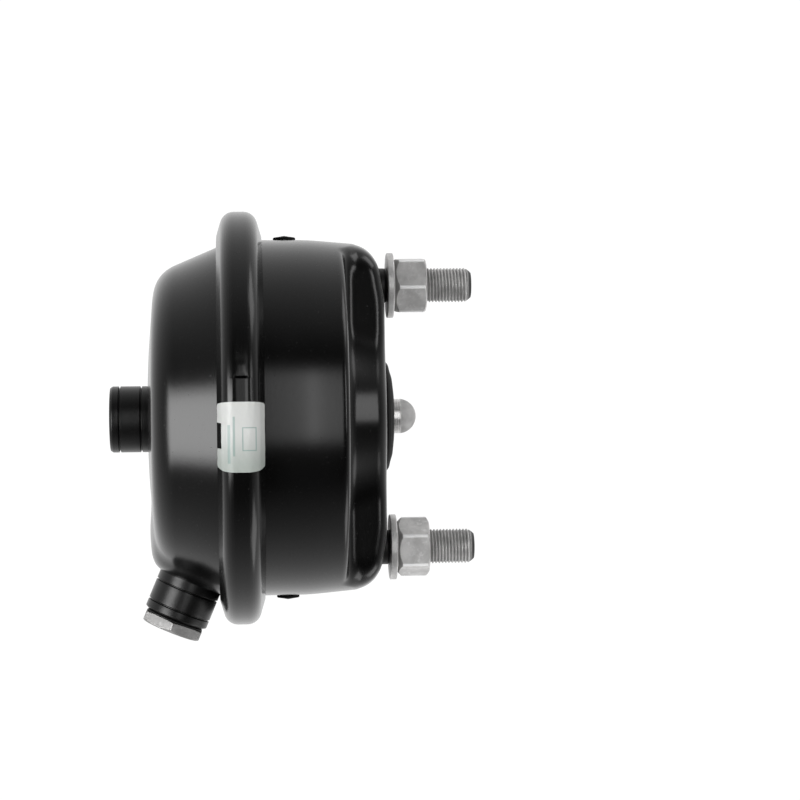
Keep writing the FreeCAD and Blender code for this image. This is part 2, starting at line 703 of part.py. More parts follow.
def stud_plate():
    """Reinforcing plate inside the ridge: a bar with a round middle, holed for the rod and studs."""
    half = RIDGE_HALF - STUD_PLATE_INSET
    bar = Part.makeBox(STUD_PLATE_THICKNESS, 2 * half, 2 * BODY_R)
    bar.translate(FreeCAD.Vector(STUD_PLATE_X, -half, -BODY_R))
    centre_r = ROD_HOLE_R + STUD_PLATE_RING
    middle = Part.makeCylinder(centre_r, STUD_PLATE_THICKNESS, FreeCAD.Vector(STUD_PLATE_X, 0, 0), AXIS)
    plate = bar.fuse(middle).common(front_form(WALL + FORM_GAP))
    start = STUD_PLATE_X - OVERCUT
    deep = STUD_PLATE_THICKNESS + 2 * OVERCUT
    plate = plate.cut(Part.makeCylinder(ROD_HOLE_R, deep, FreeCAD.Vector(start, 0, 0), AXIS))
    for side in (1, -1):
        base = FreeCAD.Vector(start, 0, side * STUD_SPACING / 2)
        plate = plate.cut(Part.makeCylinder(STUD_R + STUD_HOLE_CLEARANCE, deep, base, AXIS))
    return clean(plate)


def stud(side):
    """Stud with a D head behind the plate, trimmed by the housing's inside, and a chamfered end."""
    head = Part.makeCylinder(STUD_HEAD_R, STUD_HEAD, FreeCAD.Vector(STUD_PLATE_X - STUD_HEAD, 0, 0), AXIS)
    shank = turned([
        (STUD_PLATE_X - STUD_HEAD, 0, 0),
        (STUD_PLATE_X - STUD_HEAD, STUD_R, 0),
        (STUD_END_X - STUD_CHAMFER, STUD_R, 0),
        (STUD_END_X, STUD_R - STUD_CHAMFER, 0),
        (STUD_END_X, 0, 0),
    ])
    place = FreeCAD.Vector(0, 0, side * STUD_SPACING / 2)
    head.translate(place)
    shank.translate(place)
    return clean(head.common(front_form(WALL + HEAD_GAP)).fuse(shank))


def washer(side):
    """Flat washer on a stud."""
    hole_r = STUD_R + WASHER_CLEARANCE
    solid = turned([
        (WASHER_X, hole_r, 0),
        (WASHER_X, WASHER_R, WASHER_EDGE),
        (WASHER_X + WASHER_THICKNESS, WASHER_R, WASHER_EDGE),
        (WASHER_X + WASHER_THICKNESS, hole_r, 0),
    ])
    solid.translate(FreeCAD.Vector(0, 0, side * STUD_SPACING / 2))
    return solid


def nut(side, corner_angle):
    """Hex nut with a washer face, chamfered corners and a chamfered bore."""
    solid = hexagon(NUT_FLATS, NUT_HEIGHT - NUT_FACE, corner_angle)
    solid = solid.common(hex_chamfer(NUT_FLATS, 0, NUT_HEIGHT - NUT_FACE, True))
    solid.translate(FreeCAD.Vector(NUT_FACE, 0, 0))
    solid = solid.fuse(Part.makeCylinder(NUT_FLATS / 2 - FINE_ROUND, NUT_FACE, ORIGIN, AXIS))
    bore_r = STUD_R + NUT_BORE_CLEARANCE
    bore = turned([
        (-OVERCUT, 0, 0),
        (-OVERCUT, bore_r + BORE_CHAMFER + OVERCUT, 0),
        (BORE_CHAMFER, bore_r, 0),
        (NUT_HEIGHT - BORE_CHAMFER, bore_r, 0),
        (NUT_HEIGHT + OVERCUT, bore_r + BORE_CHAMFER + OVERCUT, 0),
        (NUT_HEIGHT + OVERCUT, 0, 0),
    ])
    solid = clean(solid.cut(bore))
    solid.translate(FreeCAD.Vector(NUT_X, 0, side * STUD_SPACING / 2))
    return solid


def boot():
    """Rubber boot folded back into the rod hole: bead, outer sleeve, fold, inner sleeve and nose."""
    sleeve_in = SLEEVE_R - BOOT_WALL
    inner_out = sleeve_in - BOOT_FOLD_GAP
    inner_in = inner_out - BOOT_WALL
    lip_r = ROD_HOLE_R + BOOT_LIP_WIDTH
    rod_r = ROD_R + BOOT_ROD_CLEARANCE
    fold_round = (SLEEVE_R - inner_in) / 2 - FINE_ROUND
    inside_fold = BOOT_FOLD_X + BOOT_WALL
    return clean(turned([
        (BOOT_LIP, sleeve_in, FINE_ROUND),
        (BOOT_LIP, lip_r, FINE_ROUND),
        (BOOT_LIP_GAP, lip_r, 0),
        (BOOT_LIP_GAP, SLEEVE_R, 0),
        (STUD_PLATE_X, SLEEVE_R, 0),
        (STUD_PLATE_X, BEAD_R, 0),
        (BEAD_X, BEAD_R, FINE_ROUND),
        (BEAD_X, SLEEVE_R, 0),
        (BOOT_FOLD_X, SLEEVE_R, fold_round),
        (BOOT_FOLD_X, inner_in, fold_round),
        (BOOT_NOSE_X - BOOT_NOSE_ROUND, inner_in, BOOT_NOSE_ROUND - BOOT_WALL),
        (BOOT_NOSE_X - BOOT_WALL, rod_r, 0),
        (BOOT_NOSE_X, rod_r, FINE_ROUND),
        (BOOT_NOSE_X - BOOT_NOSE_ROUND + BOOT_WALL, inner_out, BOOT_NOSE_ROUND),
        (inside_fold, inner_out, 0),
        (inside_fold, sleeve_in, 0),
    ]))


def boot_retainer():
    """Pressed ring that holds the boot's bead on the stud plate and seats the spring."""
    bead_r = BEAD_R + RETAINER_CLEARANCE
    hole_r = SLEEVE_R + RETAINER_CLEARANCE
    return turned([
        (STUD_PLATE_X, bead_r, 0),
        (STUD_PLATE_X, RETAINER_R, FINE_ROUND),
        (RETAINER_X, RETAINER_R, RETAINER_ROUND),
        (RETAINER_X, hole_r, FINE_ROUND),
        (BEAD_X, hole_r, 0),
        (BEAD_X, bead_r, 0),
    ])


def return_spring():
    """Conical spring from the boot retainer back to the piston plate."""
    length = RETAINER_X - PLATE_X - SPRING_WIRE
    front_r = RETAINER_R - SPRING_FRONT_INSET
    rear_r = PLATE_R - SPRING_REAR_INSET
    cone = math.degrees(math.atan((rear_r - front_r) / length))
    path = Part.makeHelix(SPRING_PITCH, length, front_r, cone)
    start = Part.Circle(FreeCAD.Vector(front_r, 0, 0), FreeCAD.Vector(0, 1, 0), SPRING_WIRE / 2)
    coil = path.makePipeShell([Part.Wire(start.toShape())], True, True)
    coil.Placement = FreeCAD.Placement(
        FreeCAD.Vector(RETAINER_X - SPRING_WIRE / 2, 0, 0),
        FreeCAD.Rotation(FreeCAD.Vector(0, 0, 1), FreeCAD.Vector(-1, 0, 0)))
    return coil


def drain_plug(side):
    """Rubber plug in a drain hole, with a low peaked cap."""
    stem_r = DRAIN_HOLE_R - DRAIN_CLEARANCE
    cap_start = BODY_R + DRAIN_CAP_GAP
    solid = turned_at([
        (BODY_R - DRAIN_STEM, 0, 0),
        (BODY_R - DRAIN_STEM, stem_r, FINE_ROUND),
        (cap_start, stem_r, 0),
        (cap_start, DRAIN_CAP_R, 0),
        (cap_start + DRAIN_CAP, DRAIN_CAP_R, FINE_ROUND),
        (cap_start + DRAIN_CAP + DRAIN_PEAK, 0, 0),
    ], FreeCAD.Vector(DRAIN_X, 0, 0), FreeCAD.Vector(0, 0, side))
    return solid


PIECES = {
    "rear_cover": rear_cover,
    "rear_port_boss": rear_port_boss,
    "lower_port_boss": lower_port_boss,
    "plug_seal": plug_seal,
    "port_plug": port_plug,
    "front_housing": front_housing,
    "clamp_ring": clamp_ring,
    "ring_label": ring_label,
    "diaphragm": diaphragm,
    "piston_plate": piston_plate,
    "pushrod": pushrod,
    "stud_plate": stud_plate,
    "upper_stud": lambda: stud(1),
    "lower_stud": lambda: stud(-1),
    "upper_washer": lambda: washer(1),
    "lower_washer": lambda: washer(-1),
    "upper_nut": lambda: nut(1, UPPER_NUT_ANGLE),
    "lower_nut": lambda: nut(-1, LOWER_NUT_ANGLE),
    "boot": boot,
    "boot_retainer": boot_retainer,
    "return_spring": return_spring,
    "upper_drain_plug": lambda: drain_plug(1),
    "lower_drain_plug": lambda: drain_plug(-1),
}

os.makedirs("parts", exist_ok=True)
for name, make in PIECES.items():
    piece = make()
    piece.exportStep("parts/" + name + ".step")
    valid = "valid" if piece.isValid() else "NOT VALID"
    print(name, valid, len(piece.Solids), round(piece.Volume, 1))
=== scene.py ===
import math

import bpy
import numpy as np
from mathutils import Matrix, Vector


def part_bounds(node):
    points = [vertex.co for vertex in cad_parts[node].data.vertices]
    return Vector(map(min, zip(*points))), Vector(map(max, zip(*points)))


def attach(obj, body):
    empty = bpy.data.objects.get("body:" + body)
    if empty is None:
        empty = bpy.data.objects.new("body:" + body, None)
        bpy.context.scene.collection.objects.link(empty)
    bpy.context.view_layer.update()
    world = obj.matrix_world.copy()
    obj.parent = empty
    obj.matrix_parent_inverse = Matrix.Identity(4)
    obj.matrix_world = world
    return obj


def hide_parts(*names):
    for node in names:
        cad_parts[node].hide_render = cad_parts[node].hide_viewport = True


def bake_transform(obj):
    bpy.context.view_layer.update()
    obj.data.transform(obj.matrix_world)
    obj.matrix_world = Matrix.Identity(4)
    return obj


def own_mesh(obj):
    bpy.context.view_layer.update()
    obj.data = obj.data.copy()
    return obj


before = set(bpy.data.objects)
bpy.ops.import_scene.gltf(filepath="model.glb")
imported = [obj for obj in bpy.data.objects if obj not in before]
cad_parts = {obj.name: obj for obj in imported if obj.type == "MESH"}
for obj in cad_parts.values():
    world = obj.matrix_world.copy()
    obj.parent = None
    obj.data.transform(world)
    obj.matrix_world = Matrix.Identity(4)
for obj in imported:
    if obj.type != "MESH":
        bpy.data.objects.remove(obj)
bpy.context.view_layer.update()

MM = 0.001

# Pressed shells, in millimetres along the chamber's axis (x) and out from it (r)
WALL = 3.0
FLANGE_R = 90.0
FLANGE_EDGE = 0.8
FLANGE_ROOT = 2.5
FRONT_FLANGE = (-60.8, -63.8)
REAR_FLANGE = (-70.6, -67.6)
BODY_R = 81.5
TAPER_X = -35.0
TAPER_SLOPE = 0.0932
TAPER_BLEND = 4.0
SHOULDER = (-3.9, 78.6)
SHOULDER_ROUND = 17.0
SHOULDER_BLEND = (3.0, 12.0)
SHOULDER_REACH = (-19.5, -12.0)
FACE_FLAT_R = 57.0
FACE_FALL = 0.182
FACE_BLEND = 0.7
LEDGE_X = -19.0
LEDGE_BLEND = 5.0
RIDGE_HALF = 23.4
RIDGE_DRAFT = 10.0
RIDGE_EDGE_BLEND = 5.0
BULGE_R = 32.7
BULGE_DRAFT = 20.5
WAIST_BLEND = 11.0
ROD_HOLE_R = 24.0
ROD_HOLE_EDGE = 2.0
CONE_R = 80.5
CONE_ANGLE = math.radians(23.0)
COVER_END_X = -107.8
COVER_BREAK = (-106.7, 35.0)
COVER_SLOPE = 0.0864
COVER_CORNER = (-104.0, 66.3)
COVER_CORNER_BLEND = 9.0
AIR_HOLE_R = 7.0
LOWER_PORT_X = -88.7
PAD_PROUD = 1.2
PAD_R = 19.5
PAD_DRAFT = 32.0
PAD_REAR_SLOPE = 0.033
PAD_REAR_BLEND = 5.0
PAD_SIDE_BLEND = 6.0
PAD_DEPTH = 26.0
PAD_DEPTH_BLEND = 18.0
PAD_FOOT_BLEND = 6.0

# Rays that find the shells' surfaces
RAY_LENGTH = 150.0
RAY_HALVINGS = 34
ROWS_INSIDE = 44
FRONT_RAYS_X = -45.0
FRONT_COLUMNS = 360
FRONT_JOIN_X = -50.0
FRONT_INSIDE_SETBACK = 0.3
REAR_RAYS_X = -84.0
REAR_COLUMNS = 340
REAR_JOIN = 6.0
REAR_INSIDE_SETBACK = 3.5

# Clamp ring, in millimetres and, round the ring, in degrees above the -Y side
RING_X = -65.7
RING_R = 94.5
RING_WALL = 3.0
CREST_HALF = 6.9
CREST_ROUND = 6.4
INNER_ROUND = 1.5
LEG_SLOPE = math.tan(math.radians(16.5))
REAR_LEG_R = 82.4
FRONT_LEG_R = 82.0
LEG_ROUND = 1.0

# Closure of the ring: heights, and the (outside, inside) ends of each edge across and along the crest
CLOSURE_ANGLES = (2.0, 17.0)
CLOSURE_DEPTHS = (2.5, 0.8)
SEAM_ANGLE = 10.5
SEAM_DEPTH = 1.0
SEAM_HALF = 0.3
SEAM_ACROSS = ((-2.7, -2.3), (3.0, 2.6))
TONGUE_HEIGHT = 0.07
TONGUE_ACROSS = ((-4.6, -3.0), (5.2, 3.6))
TONGUE_ALONG = ((3.0, 5.4), (10.4, 10.2))
BUMP_HEIGHT = 0.12
BUMP_ACROSS = ((-3.6, -0.8), (3.6, 0.8))
BUMP_ALONG = ((0.6, 3.4), (8.0, 4.6))

# Label film
LABEL_ANGLES = (-14.0, 4.1)
LABEL_HALF = 9.8
LABEL_CORNER = 1.2
LABEL_UNDER = 0.12
LABEL_OVER = 0.28
LABEL_WRINKLE = 0.05
NOTCH_HEIGHTS = ((-13.9, -13.6), (-2.0, -2.3))
NOTCH_DEPTH = 2.2
NOTCH_SHIFT = 0.85

# Threads and hexagons
PITCH = 1.5
HEX_SETBACK = 0.4
HEX_SOFT = 0.35
HEX_TILT = 30.0

# Studs, washers and nuts
STUD_Z = 60.325
STUD_R = 8.0
STUD_START_X = -13.0
STUD_END_X = 41.5
STUD_CHAMFER = 3.4
THREAD_DEPTH = 0.86
THREAD_PLAY = 0.03
WASHER_R = 15.0
WASHER_BORE_R = 8.5
NUT_FLATS = 24.0
NUT_LOW_TILT = 45.0
NUT_FACE = 0.45
NUT_FACE_R = 11.35
NUT_CREST_R = 8.08
NUT_ROOT_R = 8.75
NUT_BORE_R = 8.35
UPPER_NUT_ANGLE = 186.5
LOWER_NUT_ANGLE = 215.7

# Port bosses and plug
REAR_BOSS_R = 15.15
REAR_BOSS_LENGTH = 17.2
REAR_BOSS_CHAMFER = 0.8
REAR_GROOVES = (3.1, 12.9)
LOWER_BOSS_R = 14.8
LOWER_BOSS_LENGTH = 19.2
LOWER_BOSS_CHAMFER = 2.0
LOWER_GROOVES = (4.8, 14.4)
GROOVE_HALF = 0.45
GROOVE_BOTTOM = 0.1
GROOVE_DEPTH = 0.9
PORT_MOUTH_R = 11.4
PORT_CREST_R = 10.2
PORT_ROOT_R = 10.95
SEAL_THICKNESS = 0.8
PLUG_FLATS = 27.0
PLUG_HEAD = 4.8
PLUG_SHANK = 13.0
PLUG_CREST_R = 10.12
PLUG_ROOT_R = 9.4
PLUG_TURNS = 7

# Drain plugs
DRAIN_X = -44.8

# Boot: nose on the rod, and sleeve with the lip that sits in the housing
BOOT_NOSE_REAR_X = -28.4
BOOT_NOSE_INSIDE_R = 19.8
BOOT_NOSE_OUTSIDE_R = 21.6
BOOT_GRIP_R = 8.3
BOOT_LIP_X = 0.0
BOOT_FOLD_X = -28.5
BOOT_SLEEVE_INSIDE_R = 22.1
BOOT_SLEEVE_OUTSIDE_R = 23.85
BOOT_LIP_R = 25.5
BOOT_RIB = (-8.0, -10.1)
BOOT_RIB_R = 26.4

# Diaphragm: (rear, front) faces of its middle and rim, how far (rear, front) lie inside the cover's
# cone, and between which places it rolls
DIAPHRAGM_MIDDLE = (-100.8, -97.8)
DIAPHRAGM_RIM = (-67.6, -63.8)
DIAPHRAGM_RIM_R = 89.5
DIAPHRAGM_INSIDE = (3.6, 6.6)
DIAPHRAGM_ROLL = (-67.0, -97.5)

# Return spring
SPRING_WIRE_R = 2.25
SPRING_FRONT_X = -12.1
SPRING_REAR_X = -94.5
SPRING_FRONT_R = 27.0
SPRING_REAR_R = 45.0
SPRING_TURNS = 6.6


def part_box(node):
    """Lowest and highest corner of a CAD node in millimetres."""
    low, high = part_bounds(node)
    return np.array(low) / MM, np.array(high) / MM


# Mesh building

# Degrees that one straight piece of an arc may turn
ARC_STEP = 11


def build(name, points, quads, triangles=(), sharp=38.0):
    """Mesh object from points in millimetres and index arrays, turned so that its faces look out."""
    points = np.asarray(points, float)
    quads = np.asarray(quads, int).reshape(-1, 4)
    triangles = np.asarray(triangles, int).reshape(-1, 3)
    split = np.concatenate([quads[:, [0, 1, 2]], quads[:, [0, 2, 3]], triangles])
    corner = points[split]
    volume = np.einsum("ij,ij->", corner[:, 0], np.cross(corner[:, 1], corner[:, 2]))
    if volume < 0:
        quads = quads[:, ::-1]
        triangles = triangles[:, ::-1]
    mesh = bpy.data.meshes.new(name)
    mesh.vertices.add(len(points))
    mesh.vertices.foreach_set("co", (points * MM).astype(np.float32).ravel())
    loops = np.concatenate([quads.ravel(), triangles.ravel()]).astype(np.int32)
    sizes = np.concatenate([np.full(len(quads), 4), np.full(len(triangles), 3)])
    starts = np.concatenate([[0], np.cumsum(sizes)[:-1]]).astype(np.int32)
    mesh.loops.add(len(loops))
    mesh.loops.foreach_set("vertex_index", loops)
    mesh.polygons.add(len(sizes))
    mesh.polygons.foreach_set("loop_start", starts)
    mesh.update(calc_edges=True)
    mesh.validate()
    mesh.shade_smooth()
    mesh.set_sharp_from_angle(angle=math.radians(sharp))
    piece = bpy.data.objects.new(name, mesh)
    bpy.context.scene.collection.objects.link(piece)
    return piece


def closed_grid(name, points, sharp=38.0):
    """Mesh of a (rows, columns, 3) grid whose last row and column join its first ones."""
    rows, columns = points.shape[:2]
    index = np.arange(rows * columns).reshape(rows, columns)
    right = np.roll(index, -1, axis=1)
    down = np.roll(index, -1, axis=0)
    quads = np.stack([index, right, np.roll(down, -1, axis=1), down], axis=-1)
    return build(name, points.reshape(-1, 3), quads.reshape(-1, 4), sharp=sharp)


def poled_grid(name, points, first, last, sharp=38.0):
    """Mesh of a grid closed round its columns, with one point capping each end of its rows."""
    rows, columns = points.shape[:2]
    index = np.arange(rows * columns).reshape(rows, columns)
    right = np.roll(index, -1, axis=1)
    quads = np.stack([index[:-1], right[:-1], right[1:], index[1:]], axis=-1)
    caps = [np.stack([np.full(columns, rows * columns), right[0], index[0]], axis=-1)]
    caps.append(np.stack([np.full(columns, rows * columns + 1), index[-1], right[-1]], axis=-1))
    everything = np.concatenate([points.reshape(-1, 3), [first], [last]])
    return build(name, everything, quads.reshape(-1, 4), np.concatenate(caps), sharp=sharp)


def rounded(corners, step=3.0, closed=True):
    """Line through (x, r, round) corners as an array: arcs at the corners, straight runs cut at step."""
    count = len(corners)
    line = []
    for i in range(count):
        here = np.array(corners[i][:2], float)
        size = corners[i][2]
        inner = closed or 0 < i < count - 1
        if size <= 0 or not inner:
            line.append(here)
            continue
        before = np.array(corners[i - 1][:2], float) - here
        after = np.array(corners[(i + 1) % count][:2], float) - here
        before /= np.linalg.norm(before)
        after /= np.linalg.norm(after)
        half = math.acos(np.clip(before @ after, -1, 1)) / 2
        middle = here + (before + after) / np.linalg.norm(before + after) * size / math.sin(half)
        start = here + before * size / math.tan(half) - middle
        stop = here + after * size / math.tan(half) - middle
        turn = math.pi - 2 * half
        pieces = max(3, math.ceil(math.degrees(turn) / ARC_STEP))
        for t in np.linspace(0, 1, pieces + 1):
            spread = math.sin(turn) or 1.0
            point = (start * math.sin((1 - t) * turn) + stop * math.sin(t * turn)) / spread
            line.append(middle + point)
    if closed:
        line.append(line[0])
    dense = [line[0]]
    for a, b in zip(line, line[1:]):
        pieces = max(1, math.ceil(np.linalg.norm(b - a) / step))
        for t in range(1, pieces + 1):
            dense.append(a + (b - a) * t / pieces)
    return np.array(dense[:-1] if closed else dense)


def sweep_round(line, angles):
    """Grid of a line of (x, r) points turned about the X axis."""
    x = np.broadcast_to(line[:, 0:1], (len(line), len(angles)))
    return np.stack([x, line[:, 1:2] * np.cos(angles), line[:, 1:2] * np.sin(angles)], axis=-1)


def full_turn(count):
    """Angles of a whole turn."""
    return np.arange(count) * 2 * math.pi / count


def place(points, base, direction):
    """Points whose local X axis is laid along a direction from a base point."""
    turn = Vector((1, 0, 0)).rotation_difference(Vector(direction)).to_matrix()
    return points @ np.array(turn).T + np.array(base)


def lathe(name, corners, count, base=(0, 0, 0), direction=(1, 0, 0), step=3.0, sharp=38.0):
    """Ring turned from a closed outline that stays off the axis."""
    grid = sweep_round(rounded(corners, step), full_turn(count))
    return closed_grid(name, place(grid, base, direction), sharp)


def lathe_solid(name, corners, count, base=(0, 0, 0), direction=(1, 0, 0), step=3.0, sharp=38.0):
    """Solid turned from an open outline whose first and last corners are on the axis."""
    line = rounded(corners, step, closed=False)
    grid = place(sweep_round(line[1:-1], full_turn(count)), base, direction)
    ends = place(np.array([[line[0][0], 0, 0], [line[-1][0], 0, 0]]), base, direction)
    return poled_grid(name, grid, ends[0], ends[1], sharp)


def smooth_max(a, b, k):
    """Larger of two distances, with the crease between them rounded over k."""
    h = np.maximum(k - np.abs(a - b), 0) / k
    return np.maximum(a, b) + h * h * k / 4


def smooth_min(a, b, k):
    """Smaller of two distances, with the crease between them filled over k."""
    return -smooth_max(-a, -b, k)


def ease(low, high, x):
    """Smooth step from 0 at low to 1 at high."""
    t = np.clip((x - low) / (high - low), 0, 1)
    return t * t * (3 - 2 * t)


# Pressed shells


def front_distance(x, y, z):
    """Distance outside the front housing's surface: wall, dished face, ridge, round bulge and ledges."""
    r = np.hypot(y, z)
    past = x - TAPER_X
    wall = r - BODY_R + TAPER_SLOPE * (past + np.hypot(past, TAPER_BLEND)) / 2
    fall = (x + (r - FACE_FLAT_R) * FACE_FALL) / math.hypot(1, FACE_FALL)
    face = smooth_max(x, fall, FACE_BLEND)
    draft = math.radians(RIDGE_DRAFT)
    flare = math.radians(BULGE_DRAFT)
    bar = (np.abs(y) - RIDGE_HALF + x * math.tan(draft)) * math.cos(draft)
    bulge = (r - BULGE_R + x * math.tan(flare)) * math.cos(flare)
    ridge = smooth_max(smooth_min(bar, bulge, WAIST_BLEND), face, RIDGE_EDGE_BLEND)
    top = smooth_min(x - LEDGE_X, ridge, LEDGE_BLEND)
    tight, wide = SHOULDER_BLEND
    return smooth_max(top, wall, tight + (wide - tight) * ease(*SHOULDER_REACH, x))


def port_axis():
    """Point where the lower port's axis leaves the cone, and its direction."""
    cone_r = CONE_R - math.tan(CONE_ANGLE) * (REAR_FLANGE[0] - LOWER_PORT_X)
    base = np.array([LOWER_PORT_X, 0, -cone_r])
    return base, np.array([-math.sin(CONE_ANGLE), 0, -math.cos(CONE_ANGLE)])


def rear_distance(x, y, z):
    """Distance outside the rear cover's surface: cone, dished end and the pad under the lower port."""
    r = np.hypot(y, z)
    cone = (r - CONE_R + math.tan(CONE_ANGLE) * (REAR_FLANGE[0] - x)) * math.cos(CONE_ANGLE)
    rise = COVER_BREAK[0] - COVER_END_X
    bowl = np.where(
        r < COVER_BREAK[1], rise * (r / COVER_BREAK[1]) ** 2, rise + COVER_SLOPE * (r - COVER_BREAK[1]))
    body = smooth_max(cone, COVER_END_X + bowl - x, COVER_CORNER_BLEND)
    base, direction = port_axis()
    dx, dz = x - base[0], z - base[2]
    height = dx * direction[0] + dz * direction[2]
    off_axis = np.hypot(dx - height * direction[0], np.hypot(y, dz - height * direction[2]))
    draft = math.radians(PAD_DRAFT)
    side = (off_axis - PAD_R - (PAD_PROUD - height) * math.tan(draft)) * math.cos(draft)
    behind = COVER_BREAK[0] - PAD_REAR_SLOPE * (-z - COVER_BREAK[1]) - x
    top = smooth_max(height - PAD_PROUD, behind, PAD_REAR_BLEND)
    pad = smooth_max(top, side, PAD_SIDE_BLEND)
    pad = smooth_max(pad, -PAD_DEPTH - height, PAD_DEPTH_BLEND)
    return smooth_min(body, pad, PAD_FOOT_BLEND)


def cast(distance, centre_x, slopes, angles, level):
    """Grid where rays from a point on the axis meet a level of a distance function, by halving."""
    slope, angle = np.meshgrid(slopes, angles, indexing="ij")
    dx = np.cos(slope)
    dy = np.sin(slope) * np.cos(angle)
    dz = np.sin(slope) * np.sin(angle)
    low = np.zeros_like(slope)
    high = np.full_like(slope, RAY_LENGTH)
    for _ in range(RAY_HALVINGS):
        middle = (low + high) / 2
        outside = distance(centre_x + dx * middle, dy * middle, dz * middle) > level
        high = np.where(outside, middle, high)
        low = np.where(outside, low, middle)
    return np.stack([centre_x + dx * low, dy * low, dz * low], axis=-1)


def slopes_of(line, centre_x):
    """Ray slopes from a point on the axis to the points of a line."""
    return np.arctan2(line[:, 1], line[:, 0] - centre_x)


def flange_rows(flange, mouth_r, wall_x, wall_end_r, inner_x, inner_r, angles):
    """Rows from the outer wall round the flange and over its rounded mouth to the inner wall."""
    back, mouth = flange
    line = rounded([
        (wall_x, wall_end_r, 0),
        (back, mouth_r, FLANGE_ROOT),
        (back, FLANGE_R, FLANGE_EDGE),
        (mouth, FLANGE_R, FLANGE_EDGE),
        (mouth, inner_r, FLANGE_ROOT),
        (inner_x, inner_r, 0),
    ], closed=False)
    return sweep_round(line[1:-1], angles)


def front_housing():
    """Front shell: outer rows cast from inside, the flange, inner rows, and the rod hole's round edge."""
    angles = full_turn(FRONT_COLUMNS)
    outer_line = rounded([
        (0, ROD_HOLE_R + ROD_HOLE_EDGE, 0),
        (0, FACE_FLAT_R, 0),
        (*SHOULDER, SHOULDER_ROUND),
        (TAPER_X, BODY_R, 0),
        (FRONT_FLANGE[0] + FLANGE_ROOT, BODY_R, 0),
    ], step=0.6, closed=False)
    outer = cast(front_distance, FRONT_RAYS_X, slopes_of(outer_line, FRONT_RAYS_X), angles, 0.0)
    rim = flange_rows(FRONT_FLANGE, BODY_R, FRONT_JOIN_X, BODY_R, FRONT_JOIN_X, BODY_R - WALL, angles)
    inner_slopes = np.linspace(
        math.atan2(BODY_R - WALL, FRONT_FLANGE[0] + FRONT_INSIDE_SETBACK - FRONT_RAYS_X),
        math.atan2(ROD_HOLE_R, -WALL - FRONT_RAYS_X), ROWS_INSIDE)
    inner = cast(front_distance, FRONT_RAYS_X, inner_slopes, angles, -WALL)
    edge = rounded([
        (-WALL, ROD_HOLE_R, 0),
        (0, ROD_HOLE_R, ROD_HOLE_EDGE),
        (0, ROD_HOLE_R + ROD_HOLE_EDGE + 1, 0),
    ], closed=False)
    grid = np.concatenate([outer, rim, inner, sweep_round(edge[1:-2], angles)])
    return closed_grid("front_housing_shell", grid)


def rear_cover():
    """Rear shell: inner rows, flange and outer rows, open at the air hole under the boss."""
    angles = full_turn(REAR_COLUMNS)
    join_x = REAR_FLANGE[0] - REAR_JOIN
    join_r = CONE_R - REAR_JOIN * math.tan(CONE_ANGLE)
    outer_line = rounded([
        (COVER_END_X, AIR_HOLE_R, 0),
        (*COVER_BREAK, 0),
        (*COVER_CORNER, COVER_CORNER_BLEND),
        (REAR_FLANGE[0] - FLANGE_ROOT, CONE_R - FLANGE_ROOT * math.tan(CONE_ANGLE), 0),
    ], step=0.7, closed=False)
    outer = cast(rear_distance, REAR_RAYS_X, slopes_of(outer_line, REAR_RAYS_X), angles, 0.0)
    inner_r = CONE_R + WALL * math.tan(CONE_ANGLE) - WALL / math.cos(CONE_ANGLE)
    rim = flange_rows(REAR_FLANGE, CONE_R, join_x, join_r, join_x, inner_r, angles)
    inner_slopes = np.linspace(
        math.atan2(inner_r - WALL / 2, REAR_FLANGE[1] - REAR_INSIDE_SETBACK - REAR_RAYS_X),
        math.atan2(AIR_HOLE_R, COVER_END_X + WALL - REAR_RAYS_X), ROWS_INSIDE)
    inner = cast(rear_distance, REAR_RAYS_X, inner_slopes, angles, -WALL)
    return closed_grid("rear_cover_shell", np.concatenate([outer, rim, inner]))


# Clamp ring and label


def above_view(points):
    """Angle in degrees of points above the -Y side, seen along the axis."""
    return np.degrees(np.arctan2(points[..., 2], -points[..., 1]))


def ring_outline():
    """Closed outline of the ring's V section with a rounded crest."""
    inner_r = RING_R - RING_WALL
    inner = CREST_HALF - RING_WALL * math.hypot(1, LEG_SLOPE) + LEG_SLOPE * RING_WALL

    def outside(r):
        """Half the section's outer width at a radius."""
        return CREST_HALF + LEG_SLOPE * (RING_R - r)

    def inside(r):
        """Half the section's inner width at a radius."""
        return inner + LEG_SLOPE * (inner_r - r)

    return [
        (RING_X - outside(REAR_LEG_R), REAR_LEG_R, LEG_ROUND),
        (RING_X - CREST_HALF, RING_R, CREST_ROUND),
        (RING_X + CREST_HALF, RING_R, CREST_ROUND),
        (RING_X + outside(FRONT_LEG_R), FRONT_LEG_R, LEG_ROUND),
        (RING_X + inside(FRONT_LEG_R), FRONT_LEG_R, LEG_ROUND),
        (RING_X + inner, inner_r, INNER_ROUND),
        (RING_X - inner, inner_r, INNER_ROUND),
        (RING_X - inside(REAR_LEG_R), REAR_LEG_R, LEG_ROUND),
    ]


def between(edges, value):
    """Smooth patch that rises from 0 to 1 over each of two edges, given as (outside, inside)."""
    first, second = edges
    return ease(*first, value) * ease(*second, value)


